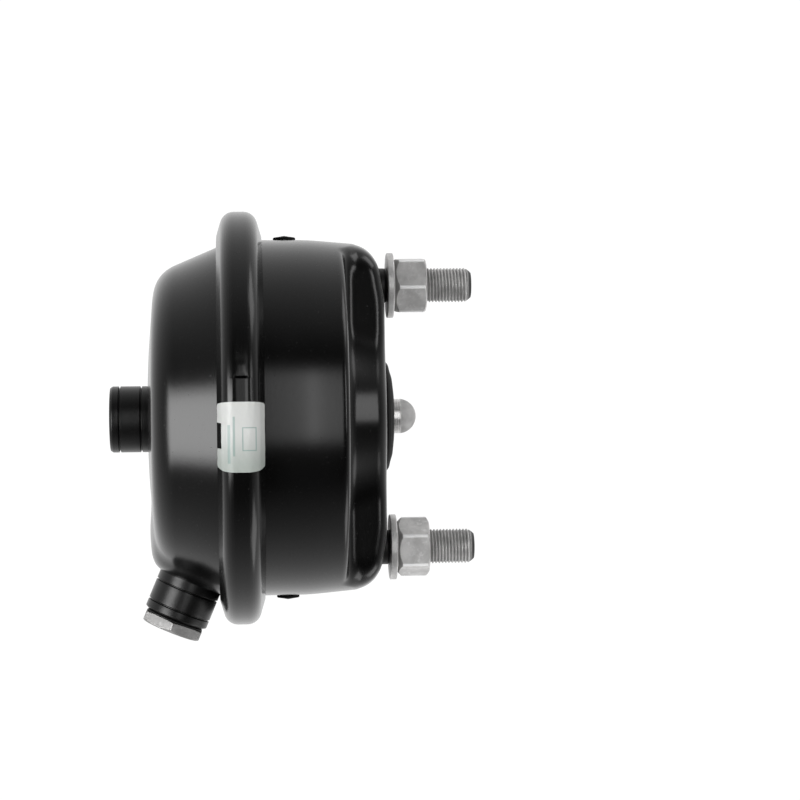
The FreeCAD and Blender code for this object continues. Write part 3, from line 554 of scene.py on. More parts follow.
def clamp_ring():
    """Section turned round the axis, lifted on its crest by a tongue and a bump and cut by a seam."""
    start, end = CLOSURE_ANGLES
    fine = np.arange(start, end, 0.12)
    coarse = np.arange(end, start + 360.0, 1.0)
    around = np.radians(180.0 - np.concatenate([fine, coarse]))
    grid = sweep_round(rounded(ring_outline(), step=0.5), around)
    x = grid[..., 0] - RING_X
    r = np.hypot(grid[..., 1], grid[..., 2])
    angle = above_view(grid)
    arc = np.radians(angle - SEAM_ANGLE) * RING_R
    none, whole = CLOSURE_DEPTHS
    on_crest = ease(RING_R - none, RING_R - whole, r)
    tongue = between(TONGUE_ACROSS, x) * between(TONGUE_ALONG, angle)
    bump = between(BUMP_ACROSS, x) * between(BUMP_ALONG, arc)
    seam = between(SEAM_ACROSS, x) * np.exp(-(arc / SEAM_HALF) ** 2)
    lift = on_crest * (TONGUE_HEIGHT * tongue + BUMP_HEIGHT * bump - SEAM_DEPTH * seam)
    grid[..., 1:] *= (1 + lift / np.maximum(r, 1.0))[..., None]
    return closed_grid("clamp_ring_rolled", grid)


def ring_label():
    """Thin film laid over the ring's outline between two angles, its rear edge cut back by a notch."""
    skin = rounded(ring_outline()[:4], step=0.25, closed=False)
    skin = skin[(np.abs(skin[:, 0] - RING_X) <= LABEL_HALF + 1.5)]
    run = np.concatenate([[0], np.cumsum(np.linalg.norm(np.diff(skin, axis=0), axis=1))])
    rows = np.linspace(LABEL_ANGLES[0], LABEL_ANGLES[1], 97)
    height = RING_R * np.sin(np.radians(rows))
    notch = between(NOTCH_HEIGHTS, height)
    end = np.minimum(rows - LABEL_ANGLES[0], LABEL_ANGLES[1] - rows) * math.radians(1) * RING_R
    curve = LABEL_CORNER ** 2 - np.maximum(LABEL_CORNER - end, 0) ** 2
    trim = LABEL_CORNER - np.sqrt(np.maximum(curve, 0))
    rear_edge = np.interp(RING_X - LABEL_HALF, skin[:, 0], run)
    front_edge = np.interp(RING_X + LABEL_HALF, skin[:, 0], run)
    cut = NOTCH_SHIFT * (np.interp(RING_X - LABEL_HALF + NOTCH_DEPTH, skin[:, 0], run) - rear_edge)
    left = rear_edge + trim
    right = front_edge - trim
    across = np.linspace(0, 1, 61)
    at = left[:, None] + (right - left)[:, None] * across
    at = at + cut * notch[:, None] * (1 - across) ** 3
    x = np.interp(at, run, skin[:, 0])
    r = np.interp(at, run, skin[:, 1])
    tilt_x = np.gradient(x, axis=1)
    tilt_r = np.gradient(r, axis=1)
    length = np.hypot(tilt_x, tilt_r)
    turn = rows[:, None]
    wrinkle = LABEL_WRINKLE * np.sin(at * 1.9 + turn * 0.7) * np.sin(turn * 1.3)
    angle = np.radians(turn)
    layers = []
    for lift in (LABEL_UNDER + wrinkle * 0.6, LABEL_OVER + wrinkle):
        out_x = x - tilt_r / length * lift
        out_r = r + tilt_x / length * lift
        layers.append(np.stack([out_x, -out_r * np.cos(angle), out_r * np.sin(angle)], axis=-1))
    count, wide = x.shape
    index = np.arange(count * wide).reshape(count, wide)
    top = index + count * wide
    quads = [np.stack([index[:-1, :-1], index[1:, :-1], index[1:, 1:], index[:-1, 1:]], axis=-1)]
    quads.append(np.stack([top[:-1, :-1], top[:-1, 1:], top[1:, 1:], top[1:, :-1]], axis=-1))
    border = np.concatenate([index[0, :-1], index[:-1, -1], index[-1, :0:-1], index[:0:-1, 0]])
    following = np.roll(border, -1)
    rim = np.stack([border, following, following + count * wide, border + count * wide], axis=-1)
    faces = np.concatenate([q.reshape(-1, 4) for q in quads] + [rim])
    points = np.concatenate([layer.reshape(-1, 3) for layer in layers])
    return build("ring_label_film", points, faces)


# Turned pieces


def boss(name, seat, height, boss_r, chamfer, grooves, base, direction):
    """Turned port boss: V grooves outside, a chamfered end, and a bore with rings for thread turns."""
    floor_r = boss_r - GROOVE_DEPTH
    corners = [(-3.0, 10.9, 0), (-3.0, boss_r, 0)]
    for above in grooves:
        at = seat + above
        corners += [(at - GROOVE_HALF, boss_r, 0.12), (at - GROOVE_BOTTOM, floor_r, 0)]
        corners += [(at + GROOVE_BOTTOM, floor_r, 0), (at + GROOVE_HALF, boss_r, 0.12)]
    corners += [(height - 1.2, boss_r, 0.5), (height, boss_r - chamfer, 0.3)]
    corners += [(height, PORT_MOUTH_R, 0.2), (height - 1.2, PORT_CREST_R + 0.1, 0)]
    for k in range(int((height - 2.0) / PITCH)):
        at = height - 1.4 - k * PITCH
        corners += [(at, PORT_CREST_R, 0), (at - PITCH / 2, PORT_ROOT_R, 0)]
    return lathe(name, corners, 128, base, direction, step=2.0)


def hex_radius(angles, flats):
    """Radius of a hexagon with eased corners at each angle from a corner."""
    folded = np.abs((angles + math.pi / 6) % (math.pi / 3) - math.pi / 6)
    straight = flats / 2 / np.cos(math.pi / 6 - folded)
    limit = flats / math.sqrt(3) - HEX_SOFT
    return straight - np.maximum(straight - limit, 0) ** 2 / (4 * HEX_SOFT)


def hex_rows(heights, flats, angles, low_tilt=HEX_TILT):
    """Radii of a hexagon whose ends are cut by cones of the given tilt, one row for each height."""
    flat = hex_radius(angles, flats)[None, :]
    edge = flats / 2 - HEX_SETBACK
    bottom = edge + (heights - heights[0])[:, None] / math.tan(math.radians(low_tilt))
    top = edge + (heights[-1] - heights)[:, None] / math.tan(math.radians(HEX_TILT))
    return np.minimum(flat, np.minimum(bottom, top))


def hex_angles():
    """Angles round a hexagon from one of its corners, closer together near each corner."""
    side = np.concatenate([np.linspace(0, 4, 6), np.linspace(7, 53, 12), np.linspace(56, 60, 6)[:-1]])
    return np.radians(np.concatenate([side + 60 * k for k in range(6)]))


def hex_grid(front, heights, hexagon, back, around):
    """Grid of circles given as (x, radius), then hexagon rows at their heights, then circles again."""
    xs = np.concatenate([[x for x, r in front], heights, [x for x, r in back]])
    rows = [np.full(len(around), r) for x, r in front]
    rows += list(hexagon)
    rows += [np.full(len(around), r) for x, r in back]
    radii = np.array(rows)
    x = np.broadcast_to(xs[:, None], radii.shape)
    return np.stack([x, radii * np.cos(around), radii * np.sin(around)], axis=-1)


def nut(name, node, z, corner_angle):
    """Hex nut: washer face, hexagon cut by two cones, and a countersunk bore with thread turns."""
    low, high = part_box(node)
    start, end = low[0], high[0]
    spread = hex_angles()
    ends = np.concatenate([np.linspace(0, 3.3, 17), np.linspace(4.0, 11.2, 6), np.linspace(12.2, 14.6, 13)])
    hexagon = hex_rows(ends, NUT_FLATS, spread, NUT_LOW_TILT)
    heights = start + NUT_FACE + ends * (end - start - NUT_FACE) / ends[-1]
    face = [(start, 9.4), (start, 11.2), (start + NUT_FACE, NUT_FACE_R)]
    bore = [(end, 9.2), (end - 1.0, NUT_BORE_R)]
    for k in range(int((end - start - 2.4) / PITCH)):
        at = end - 1.2 - k * PITCH
        bore += [(at, NUT_CREST_R), (at - PITCH / 2, NUT_ROOT_R)]
    bore.append((start + 1.0, NUT_BORE_R))
    grid = hex_grid(face, heights, hexagon, bore, spread + math.radians(corner_angle))
    return closed_grid(name, grid + np.array([0, 0, z]), sharp=24.0)


def stud(name, z):
    """Stud: radius less a helical V thread that fades in past the face, and a domed chamfer at its end."""
    angles = full_turn(48)
    plain = [STUD_START_X, -8.1, -8.0, -3.0, 0.0]
    x = np.concatenate([plain, np.arange(0.8, STUD_END_X - 0.4, PITCH / 12)])
    phase = (x[:, None] / PITCH - angles[None, :] / (2 * math.pi)) % 1.0
    tooth = np.clip(np.abs(phase - 0.5) * 2 * 1.25 - 0.125, 0, 1)
    fade = ease(0.6, 2.6, x) * ease(STUD_END_X + 0.6, STUD_END_X - 1.0, x)
    radius = STUD_R - THREAD_PLAY - THREAD_DEPTH * (1 - tooth) * fade[:, None]
    past = np.maximum(x - (STUD_END_X - STUD_CHAMFER), 0)
    chamfer = STUD_R - 0.1 - past * 0.45 - past ** 2 * 0.09
    chamfer = np.where(x > STUD_END_X - STUD_CHAMFER - 0.2, chamfer, STUD_R)
    radius = np.minimum(radius, chamfer[:, None])
    long_x = np.broadcast_to(x[:, None], radius.shape)
    grid = np.stack([long_x, radius * np.cos(angles), z + radius * np.sin(angles)], axis=-1)
    return poled_grid(name, grid, (STUD_START_X, 0, z), (STUD_END_X, 0, z), sharp=50.0)


def washer(name, node, z):
    """Flat washer with eased edges."""
    low, high = part_box(node)
    corners = [
        (low[0], WASHER_BORE_R, 0.15), (low[0], WASHER_R, 0.45),
        (high[0], WASHER_R, 0.45), (high[0], WASHER_BORE_R, 0.15)]
    return lathe(name, corners, 96, (0, 0, z), step=1.5)


def pushrod():
    """Ball-ended rod with its collar and spigot."""
    return lathe_solid("pushrod_turned", [
        (-97.5, 0, 0), (-97.5, 6, 0.3), (-94.5, 6, 0), (-94.5, 13, 0.4),
        (-88.5, 13, 1.0), (-88.5, 8, 1.0), (15.0, 8.0, 7.999), (15.0, 0, 0)], 96, step=2.0)


def port_plug():
    """Hex plug: shank with thread turns, then a hexagon cut by a cone, with a shallow turned face."""
    base, direction = port_axis()
    start = PAD_PROUD + LOWER_BOSS_LENGTH + SEAL_THICKNESS
    face = start + PLUG_HEAD - 0.18
    spread = hex_angles()
    ends = [np.linspace(0, 0.6, 4), np.linspace(1.4, 2.6, 3), np.linspace(3.0, PLUG_HEAD, 12)]
    heights = np.concatenate(ends)
    hexagon = hex_rows(heights, PLUG_FLATS, spread)
    eased = PLUG_FLATS / 2 + heights[:4] * 4.0 + 0.9
    hexagon[:4] = np.minimum(hex_radius(spread, PLUG_FLATS)[None, :], eased[:, None])
    shank = [(start - PLUG_SHANK, 9.0), (start - PLUG_SHANK + 1.0, 9.9)]
    for k in range(PLUG_TURNS):
        at = start - PLUG_SHANK + 1.2 + k * PITCH
        shank += [(at, PLUG_CREST_R), (at + PITCH / 2, PLUG_ROOT_R)]
    shank += [(start - 0.4, PLUG_ROOT_R), (start, PLUG_ROOT_R)]
    top = [(start + PLUG_HEAD, 12.0), (face, 11.2), (face, 4.0)]
    grid = place(hex_grid(shank, start + heights, hexagon, top, spread), base, direction)
    poles = place(np.array([[start - PLUG_SHANK, 0, 0], [face, 0, 0]]), base, direction)
    return poled_grid("port_plug_hex", grid, poles[0], poles[1], sharp=24.0)


def plug_seal():
    """Sealing ring under the plug's head, pressed a little round."""
    base, direction = port_axis()
    start = PAD_PROUD + LOWER_BOSS_LENGTH
    end = start + SEAL_THICKNESS
    corners = [(start, 10.55, 0.2), (start, 13.3, 0.35), (end, 13.3, 0.35), (end, 10.55, 0.2)]
    return lathe("plug_seal_ring", corners, 96, base, direction, step=1.0)


def drain_plug(name, side):
    """Rubber drain plug: stem, thin cap with a low peak."""
    return lathe_solid(name, [
        (74.5, 0, 0), (74.5, 3.9, 0.4), (81.5, 3.95, 0), (81.55, 5.15, 0.1), (82.7, 5.15, 0.5),
        (83.1, 2.6, 1.0), (83.6, 0, 0)], 64, (DRAIN_X, 0, 0), (0, 0, side), step=1.0)


# Rubber boot, diaphragm and spring


def boot_nose():
    """Boot from the rod lip over the nose and back along its inner sleeve, travelling with the rod."""
    return lathe("boot_nose", [
        (BOOT_NOSE_REAR_X, BOOT_NOSE_INSIDE_R, 0.3), (-6.0, BOOT_NOSE_INSIDE_R, 4.0), (1.2, 12.5, 6.0),
        (2.2, BOOT_GRIP_R, 0.2), (4.2, BOOT_GRIP_R, 0.6), (4.3, 13.0, 5.0), (3.6, 18.5, 5.0),
        (2.6, BOOT_NOSE_OUTSIDE_R, 1.0), (BOOT_NOSE_REAR_X, BOOT_NOSE_OUTSIDE_R, 0.3)], 128, step=1.5)


def boot_sleeve():
    """Boot's outer sleeve from the lip on the housing to the fold."""
    inside, outside = BOOT_SLEEVE_INSIDE_R, BOOT_SLEEVE_OUTSIDE_R
    front, rear = BOOT_RIB
    line = rounded([
        (BOOT_FOLD_X, inside, 0), (2.5, inside, 0.4), (2.1, 23.8, 1.0), (0.9, BOOT_LIP_R, 0.4),
        (0.1, BOOT_LIP_R, 0.2), (0.05, outside, 0), (front, outside, 0), (front, BOOT_RIB_R, 0.3),
        (rear, BOOT_RIB_R, 0.5), (rear, outside, 0), (BOOT_FOLD_X, outside, 0.3)], step=1.0)
    return closed_grid("boot_sleeve", sweep_round(line, full_turn(128)))


def diaphragm():
    """Rubber diaphragm lying in the cover: flat middle, cone and the clamped rim."""
    slope = math.tan(CONE_ANGLE)

    def cone(x, inside):
        """Radius that lies a distance inside the cover's cone at a place on the axis."""
        return CONE_R - slope * (REAR_FLANGE[0] - x) - inside / math.cos(CONE_ANGLE)

    middle_rear, middle_front = DIAPHRAGM_MIDDLE
    rim_rear, rim_front = DIAPHRAGM_RIM
    rear, front = DIAPHRAGM_INSIDE
    return lathe_solid("diaphragm_rubber", [
        (middle_rear, 0, 0), (middle_rear, cone(middle_rear, rear), 9.0),
        (rim_rear, cone(rim_rear, rear), 2.5), (rim_rear, DIAPHRAGM_RIM_R, 0.4),
        (rim_front, DIAPHRAGM_RIM_R, 0.4), (rim_front, cone(rim_front, front), 2.5),
        (middle_front, cone(middle_front, front), 6.0), (middle_front, 0, 0)], 180, step=2.0)


def return_spring():
    """Conical spring: a round wire along a helix whose end turns lie flat."""
    wire = SPRING_WIRE_R
    start_x, end_x = SPRING_FRONT_X - wire, SPRING_REAR_X + wire
    t = np.linspace(0, 1, 720)
    angle = t * SPRING_TURNS * 2 * math.pi
    closed = 0.9 / SPRING_TURNS
    climb = np.clip((t - closed) / (1 - 2 * closed), 0, 1)
    climb = climb * 0.86 + ease(0, 1, climb) * 0.14
    lift = np.minimum(t / closed, 1) * 0.02 + climb * 0.96 + np.clip((t - 1 + closed) / closed, 0, 1) * 0.02
    x = start_x + (end_x - start_x) * lift
    radius = SPRING_FRONT_R + (SPRING_REAR_R - SPRING_FRONT_R) * climb
    path = np.stack([x, radius * np.cos(angle), radius * np.sin(angle)], axis=-1)
    along = np.gradient(path, axis=0)
    along /= np.linalg.norm(along, axis=1)[:, None]
    out = np.stack([np.zeros_like(angle), np.cos(angle), np.sin(angle)], axis=-1)
    side = np.cross(along, out)
    side /= np.linalg.norm(side, axis=1)[:, None]
    out = np.cross(side, along)
    section = full_turn(14)[:, None]
    ring = out[:, None] * np.cos(section) + side[:, None] * np.sin(section)
    return poled_grid("return_spring_coil", path[:, None] + wire * ring, path[0], path[-1])


# Materials


class Wire:
    """A shader socket that adds Math nodes when it is used in an expression."""

    def __init__(self, finish, socket):
        self.finish = finish
        self.socket = socket

    def math(self, operation, first, second=None):
        """Math node on one or two values."""
        sockets = {0: first}
        if second is not None:
            sockets[1] = second
        return self.finish.node("Math", {"operation": operation}, sockets)

    def __add__(self, other):
        return self.math("ADD", self, other)

    def __radd__(self, other):
        return self.math("ADD", other, self)

    def __sub__(self, other):
        return self.math("SUBTRACT", self, other)

    def __rsub__(self, other):
        return self.math("SUBTRACT", other, self)

    def __mul__(self, other):
        return self.math("MULTIPLY", self, other)

    def __rmul__(self, other):
        return self.math("MULTIPLY", other, self)

    def __pow__(self, other):
        return self.math("POWER", self, other)

    def __abs__(self):
        return self.math("ABSOLUTE", self)

    def step(self, low, high):
        """Smooth step of this value from 0 at low to 1 at high."""
        settings = {"interpolation_type": "SMOOTHSTEP", "clamp": True}
        return self.finish.node("MapRange", settings, {"Value": self, "From Min": low, "From Max": high})


class Finish:
    """Nodes of one procedural material on object coordinates in metres, or of the world on directions."""

    def __init__(self, name, world=None):
        self.material = world or bpy.data.materials.new(name)
        self.material.use_nodes = True
        self.tree = self.material.node_tree
        self.tree.nodes.clear()
        self.place = self.node("TexCoord", {}, {}, "Generated" if world else "Object")

    def node(self, kind, settings, sockets, output=0):
        """Add a node: its settings first, then the values or links of its sockets."""
        node = self.tree.nodes.new("ShaderNode" + kind)
        for key, value in settings.items():
            setattr(node, key, value)
        for key, value in sockets.items():
            if isinstance(value, Wire):
                self.tree.links.new(value.socket, node.inputs[key])
            else:
                node.inputs[key].default_value = value
        return Wire(self, node.outputs[output]) if node.outputs else None

    def xyz(self):
        """The three object coordinates."""
        first = self.node("SeparateXYZ", {}, {0: self.place})
        outputs = first.socket.node.outputs
        return [Wire(self, socket) for socket in outputs]

    def noise(self, scale, detail=3.0, rough=0.55, vector=None, distortion=0.0):
        """Noise about 0.5, with features about 1/scale metres across."""
        return self.node("TexNoise", {}, {
            "Vector": vector or self.place, "Scale": scale, "Detail": detail, "Roughness": rough,
            "Distortion": distortion})

    def stretch(self, scale):
        """Object coordinates scaled along each axis."""
        return self.node("Mapping", {}, {"Vector": self.place, "Scale": scale})

    def mix(self, factor, one, two):
        """Colour between two colours."""
        return self.node("Mix", {"data_type": "RGBA"}, {0: factor, 6: one, 7: two}, 2)

    def bump(self, height, strength, distance):
        """Normal tilted by a height of 0 to 1, which stands for a distance in metres."""
        return self.node("Bump", {}, {"Height": height, "Strength": strength, "Distance": distance})

    def surface(self, **sockets):
        """Finish with one Principled shader; spaces in socket names are written as underscores."""
        named = {key.replace("_", " "): value for key, value in sockets.items()}
        shader = self.node("BsdfPrincipled", {}, named)
        self.node("OutputMaterial", {}, {"Surface": shader})
        return self.material


def grey(value, warm=0.0):
    """Neutral colour, a little warm or cool."""
    return (value * (1 + warm), value, value * (1 - warm), 1.0)


def black_ecoat():
    """Satin black dip paint: faint orange peel, soft patches of gloss, dust in the roughness."""
    finish = Finish("black_ecoat")
    patches = finish.noise(22.0, 3.0)
    peel = finish.noise(420.0, 2.0)
    grain = finish.noise(2600.0, 2.0)
    specks = finish.noise(900.0, 2.0).step(0.66, 0.74)
    colour = finish.mix(patches.step(0.35, 0.7), grey(0.001), grey(0.0022, -0.02))
    colour = finish.mix(specks * 0.3, colour, grey(0.016, 0.02))
    rough = 0.165 + patches * 0.05 + grain * 0.04 + specks * 0.08
    normal = finish.bump(peel * 0.5 + grain * 0.12, 0.35, 0.00004)
    return finish.surface(Base_Color=colour, Roughness=rough, Normal=normal, IOR=1.5)


def black_boss():
    """The same paint over turned steel, a little rougher and with more grain."""
    finish = Finish("black_boss")
    grain = finish.noise(3200.0, 3.0)
    patches = finish.noise(60.0, 2.0)
    colour = finish.mix(grain.step(0.4, 0.75), grey(0.001), grey(0.004))
    rough = 0.24 + grain * 0.12 + patches * 0.05
    normal = finish.bump(grain, 0.5, 0.00005)
    return finish.surface(Base_Color=colour, Roughness=rough, Normal=normal, IOR=1.5)


# Places where a finish changes, in metres
# Painted shade: where the nut's chamfer cone next to the washer is darkened in the colour
NUT_CHAMFER_SHADE = (0.0057, 0.0059)
PAINT_END = (0.0062, 0.0048)
THREAD_ROOT = (0.0079, 0.0072)
STUD_TIP = (0.0392, 0.0402)
BALL_START = (0.0070, 0.0084)


def stud_polar(finish):
    """Place along the stud that is nearer, and distance from its axis."""
    x, y, z = finish.xyz()
    arm = abs(z) - STUD_Z * MM
    return x, (y * y + arm * arm) ** 0.5


def zinc_flake(name, light, dark, rough_low, rough_high, worn_r=0.0):
    """Grey metal flake coat, mottled, sandy and rubbed; on a nut worn past worn_r, with painted shade on
    its cone.
    """
    finish = Finish(name)
    mottle = finish.noise(140.0, 4.0, 0.6)
    grain = finish.noise(2400.0, 2.0)
    rub = finish.noise(480.0, 3.0, 0.6, distortion=0.6).step(0.56, 0.72)
    colour = finish.mix(mottle.step(0.3, 0.72), grey(dark, 0.01), grey(light, 0.01))
    colour = finish.mix(rub * 0.45, colour, grey(light * 1.25))
    metal = 0.75
    if worn_r:
        x, radius = stud_polar(finish)
        # Painted shade: the chamfer cone that faces the washer is darkened in the colour
        chamfer = (radius + x * -1.0).step(*NUT_CHAMFER_SHADE)
        colour = finish.mix(chamfer * 0.75, colour, grey(0.16, 0.01))
        worn = radius.step(worn_r, worn_r + 0.0003)
        colour = finish.mix(worn, colour, grey(0.98))
        metal = 0.75 - worn * 0.6
    rough = rough_low + grain * (rough_high - rough_low) + rub * -0.05
    normal = finish.bump(grain * 0.7 + mottle * 0.3, 0.5, 0.00007)
    return finish.surface(Base_Color=colour, Roughness=rough, Metallic=metal, Normal=normal)


def stud_coat():
    """Stud: black paint next to the housing, grey flake coat on the free thread, darker roots and end."""
    finish = Finish("stud_coat")
    x, radius = stud_polar(finish)
    painted = x.step(*PAINT_END)
    root = radius.step(*THREAD_ROOT)
    mottle = finish.noise(180.0, 4.0, 0.6)
    grain = finish.noise(2600.0, 2.0)
    colour = finish.mix(mottle.step(0.3, 0.7), grey(0.50, 0.01), grey(0.70, 0.01))
    colour = finish.mix(root * 0.5, colour, grey(0.20))
    colour = finish.mix(x.step(*STUD_TIP), colour, grey(0.08))
    colour = finish.mix(painted, colour, grey(0.008))
    metal = (1 - painted) * 0.75
    rough = 0.40 + grain * 0.14 + root * 0.1
    normal = finish.bump(grain, 0.4, 0.00005)
    return finish.surface(Base_Color=colour, Roughness=rough, Metallic=metal, Normal=normal)


def rod_steel():
    """Turned rod: fine rings round it, bright shank, duller ball."""
    finish = Finish("rod_steel")
    x, _, _ = finish.xyz()
    ball = x.step(*BALL_START)
    rings = finish.noise(40.0, 3.0, vector=finish.stretch((60.0, 1.0, 1.0)))
    mottle = finish.noise(220.0, 3.0)
    colour = finish.mix(mottle.step(0.3, 0.7), grey(0.46, 0.01), grey(0.56, 0.01))
    colour = finish.mix(ball, grey(0.75, 0.01), colour)
    rough = 0.22 + rings * 0.10 + ball * 0.34
    normal = finish.bump(rings, 0.25, 0.00005)
    return finish.surface(Base_Color=colour, Roughness=rough, Metallic=0.6 - ball * 0.2, Normal=normal)


def moulded_rubber():
    """Matt black rubber: fine moulded grain and pale bloom."""
    finish = Finish("moulded_rubber")
    grain = finish.noise(1800.0, 3.0)
    bloom = finish.noise(70.0, 3.0).step(0.5, 0.8)
    colour = finish.mix(bloom * 0.5, grey(0.003), grey(0.010))
    rough = 0.58 + grain * 0.18
    normal = finish.bump(grain, 0.5, 0.00008)
    return finish.surface(Base_Color=colour, Roughness=rough, Normal=normal, Specular_IOR_Level=0.2)


def seal_rubber():
    """Dark sealing ring, smoother than the boot."""
    finish = Finish("seal_rubber")
    grain = finish.noise(2500.0, 2.0)
    colour = finish.mix(grain, grey(0.006), grey(0.012))
    normal = finish.bump(grain, 0.3, 0.00004)
    return finish.surface(Base_Color=colour, Roughness=0.5 + grain * 0.2, Normal=normal)


def pressed_zinc():
    """Yellowish zinc plate on pressed steel, with drawn streaks."""
    finish = Finish("pressed_zinc")
    streak = finish.noise(30.0, 4.0, vector=finish.stretch((1.0, 14.0, 1.0)))
    mottle = finish.noise(160.0, 4.0, 0.6)
    colour = finish.mix(mottle.step(0.3, 0.7), (0.36, 0.33, 0.24, 1), (0.50, 0.48, 0.40, 1))
    rough = 0.32 + streak * 0.2
    normal = finish.bump(streak, 0.3, 0.00006)
    return finish.surface(Base_Color=colour, Roughness=rough, Metallic=0.85, Normal=normal)


def spring_paint():
    """Dark painted spring wire with rubbed scale."""
    finish = Finish("spring_paint")
    scale = finish.noise(300.0, 4.0, 0.65)
    grain = finish.noise(1900.0, 2.0)
    colour = finish.mix(scale.step(0.45, 0.75), grey(0.03), grey(0.075, 0.03))
    normal = finish.bump(grain, 0.4, 0.00006)
    return finish.surface(Base_Color=colour, Roughness=0.4 + scale * 0.2, Normal=normal)


# Plain print of the label in metres: left and right across the ring, low and high up the film
FRAME_LINE = 0.00022
FRAME_PRINT = (0.0006, 0.0064, -0.0138, -0.0040)
BAR_SOFT = 0.00015
BAR_PRINTS = ((-0.0056, -0.0046, -0.0190, -0.0030), (-0.0034, -0.0026, -0.0160, 0.0005))


def label_film():
    """White film with a plain ruled frame and two plain bars, greener and duller low down."""
    finish = Finish("label_film")
    x, _, z = finish.xyz()
    across = x - RING_X * MM
    fibre = finish.noise(900.0, 3.0)
    crease = finish.noise(160.0, 2.0, vector=finish.stretch((1.6, 1.0, 0.5)))

    def block(left, right, low, high, soft):
        """Filled oblong on the film, fading out over a soft border."""
        wide = across.step(left - soft, left) * across.step(right + soft, right)
        return wide * z.step(low - soft, low) * z.step(high + soft, high)

    left, right, low, high = FRAME_PRINT
    inset = 2 * FRAME_LINE
    inside = block(left + inset, right - inset, low + inset, high - inset, FRAME_LINE)
    print_mask = block(*FRAME_PRINT, FRAME_LINE) * (1 - inside)
    for bar in BAR_PRINTS:
        print_mask = print_mask + block(*bar, BAR_SOFT) * 0.8
    low_tint = z.step(-0.004, -0.022)
    colour = finish.mix(low_tint * 0.85 + fibre * 0.1, (0.64, 0.65, 0.635, 1), (0.37, 0.41, 0.38, 1))
    colour = finish.mix(print_mask * 0.62, colour, (0.13, 0.27, 0.25, 1))
    rough = 0.24 + fibre * 0.12 + crease * 0.12
    normal = finish.bump(crease, 0.5, 0.0004)
    return finish.surface(Base_Color=colour, Roughness=rough, Normal=normal)


# Assembly

PAINT = black_ecoat()
BOSS_PAINT = black_boss()
NUT_COAT = zinc_flake("nut_coat", 0.74, 0.54, 0.36, 0.56, 0.0133)
WASHER_COAT = zinc_flake("washer_coat", 0.74, 0.54, 0.36, 0.56)
PLUG_COAT = zinc_flake("plug_coat", 0.40, 0.28, 0.46, 0.62)
STUD_COAT = stud_coat()
ROD_STEEL = rod_steel()
RUBBER = moulded_rubber()
SEAL = seal_rubber()
ZINC = pressed_zinc()
SPRING = spring_paint()
LABEL = label_film()


def fit(piece, node, body, material):
    """Put a finished piece in place of a CAD node, on its body and with its finish."""
    piece.data.materials.append(material)
    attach(piece, body)
    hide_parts(node)


def dress(node, material):
    """Give a CAD node that keeps its own shape a finish."""
    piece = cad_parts[node]
    piece.data.materials.clear()
    piece.data.materials.append(material)


def stretch_between(piece, node, start_x, end_x):
    """Give a rubber piece its finish, bake its place into its mesh and hide the CAD node it stands for."""
    piece.data.materials.append(RUBBER)
    start_x * MM
    end_x * MM
    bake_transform(piece)
    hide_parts(node)


fit(front_housing(), "front_housing", "housing", PAINT)
fit(rear_cover(), "rear_cover", "housing", PAINT)
fit(clamp_ring(), "clamp_ring", "housing", PAINT)
fit(ring_label(), "ring_label", "housing", LABEL)
rear_boss = boss(
    "rear_boss_turned", 0, REAR_BOSS_LENGTH, REAR_BOSS_R, REAR_BOSS_CHAMFER, REAR_GROOVES,
    (COVER_END_X, 0, 0), (-1, 0, 0))
fit(rear_boss, "rear_port_boss", "housing", BOSS_PAINT)
lower_boss = boss(
    "lower_boss_turned", PAD_PROUD, PAD_PROUD + LOWER_BOSS_LENGTH, LOWER_BOSS_R, LOWER_BOSS_CHAMFER,
    LOWER_GROOVES, *port_axis())
fit(lower_boss, "lower_port_boss", "housing", BOSS_PAINT)
fit(port_plug(), "port_plug", "port_plug", PLUG_COAT)
fit(plug_seal(), "plug_seal", "plug_seal", SEAL)
fit(pushrod(), "pushrod", "pushrod", ROD_STEEL)
for side, sign, corner in (("upper", 1, UPPER_NUT_ANGLE), ("lower", -1, LOWER_NUT_ANGLE)):
    level = sign * STUD_Z
    washer_node = side + "_washer"
    nut_node = side + "_nut"
    drain_node = side + "_drain_plug"
    fit(stud(side + "_stud_threaded", level), side + "_stud", "housing", STUD_COAT)
    fit(washer(side + "_washer_flat", washer_node, level), washer_node, washer_node, WASHER_COAT)
    fit(nut(side + "_nut_hex", nut_node, level, corner), nut_node, nut_node, NUT_COAT)
    fit(drain_plug(side + "_drain_cap", sign), drain_node, drain_node, RUBBER)
fit(boot_nose(), "boot", "pushrod", RUBBER)
stretch_between(boot_sleeve(), "boot", BOOT_LIP_X, BOOT_FOLD_X)
stretch_between(diaphragm(), "diaphragm", *DIAPHRAGM_ROLL)
coil = return_spring()
coil.data.materials.append(SPRING)
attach(coil, "housing")
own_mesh(coil)
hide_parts("return_spring")
for inner in ("piston_plate", "stud_plate", "boot_retainer"):
    dress(inner, ZINC)

# Camera and room

CAMERA_PLACE = Vector((-0.0669, -1.050, 0.0))
CAMERA_AIM = Vector((0.00784, 0.0, 0.0074))
CAMERA_LENS = 102.55
CAMERA_SENSOR_WIDTH = 36.0
CAMERA_ROLL = -0.7

camera_data = bpy.data.cameras.new("camera")
camera_data.lens = CAMERA_LENS
camera_data.sensor_width = CAMERA_SENSOR_WIDTH
camera = bpy.data.objects.new("camera", camera_data)
look = (CAMERA_AIM - CAMERA_PLACE).to_track_quat("-Z", "Y").to_matrix().to_4x4()
roll = Matrix.Rotation(math.radians(CAMERA_ROLL), 4, "Z")
camera.matrix_world = Matrix.Translation(CAMERA_PLACE) @ look @ roll
bpy.context.scene.collection.objects.link(camera)
bpy.context.scene.camera = camera
bpy.context.scene.view_settings.view_transform = "Standard"

PANEL_AIM = Vector((-0.04, 0.0, 0.0))


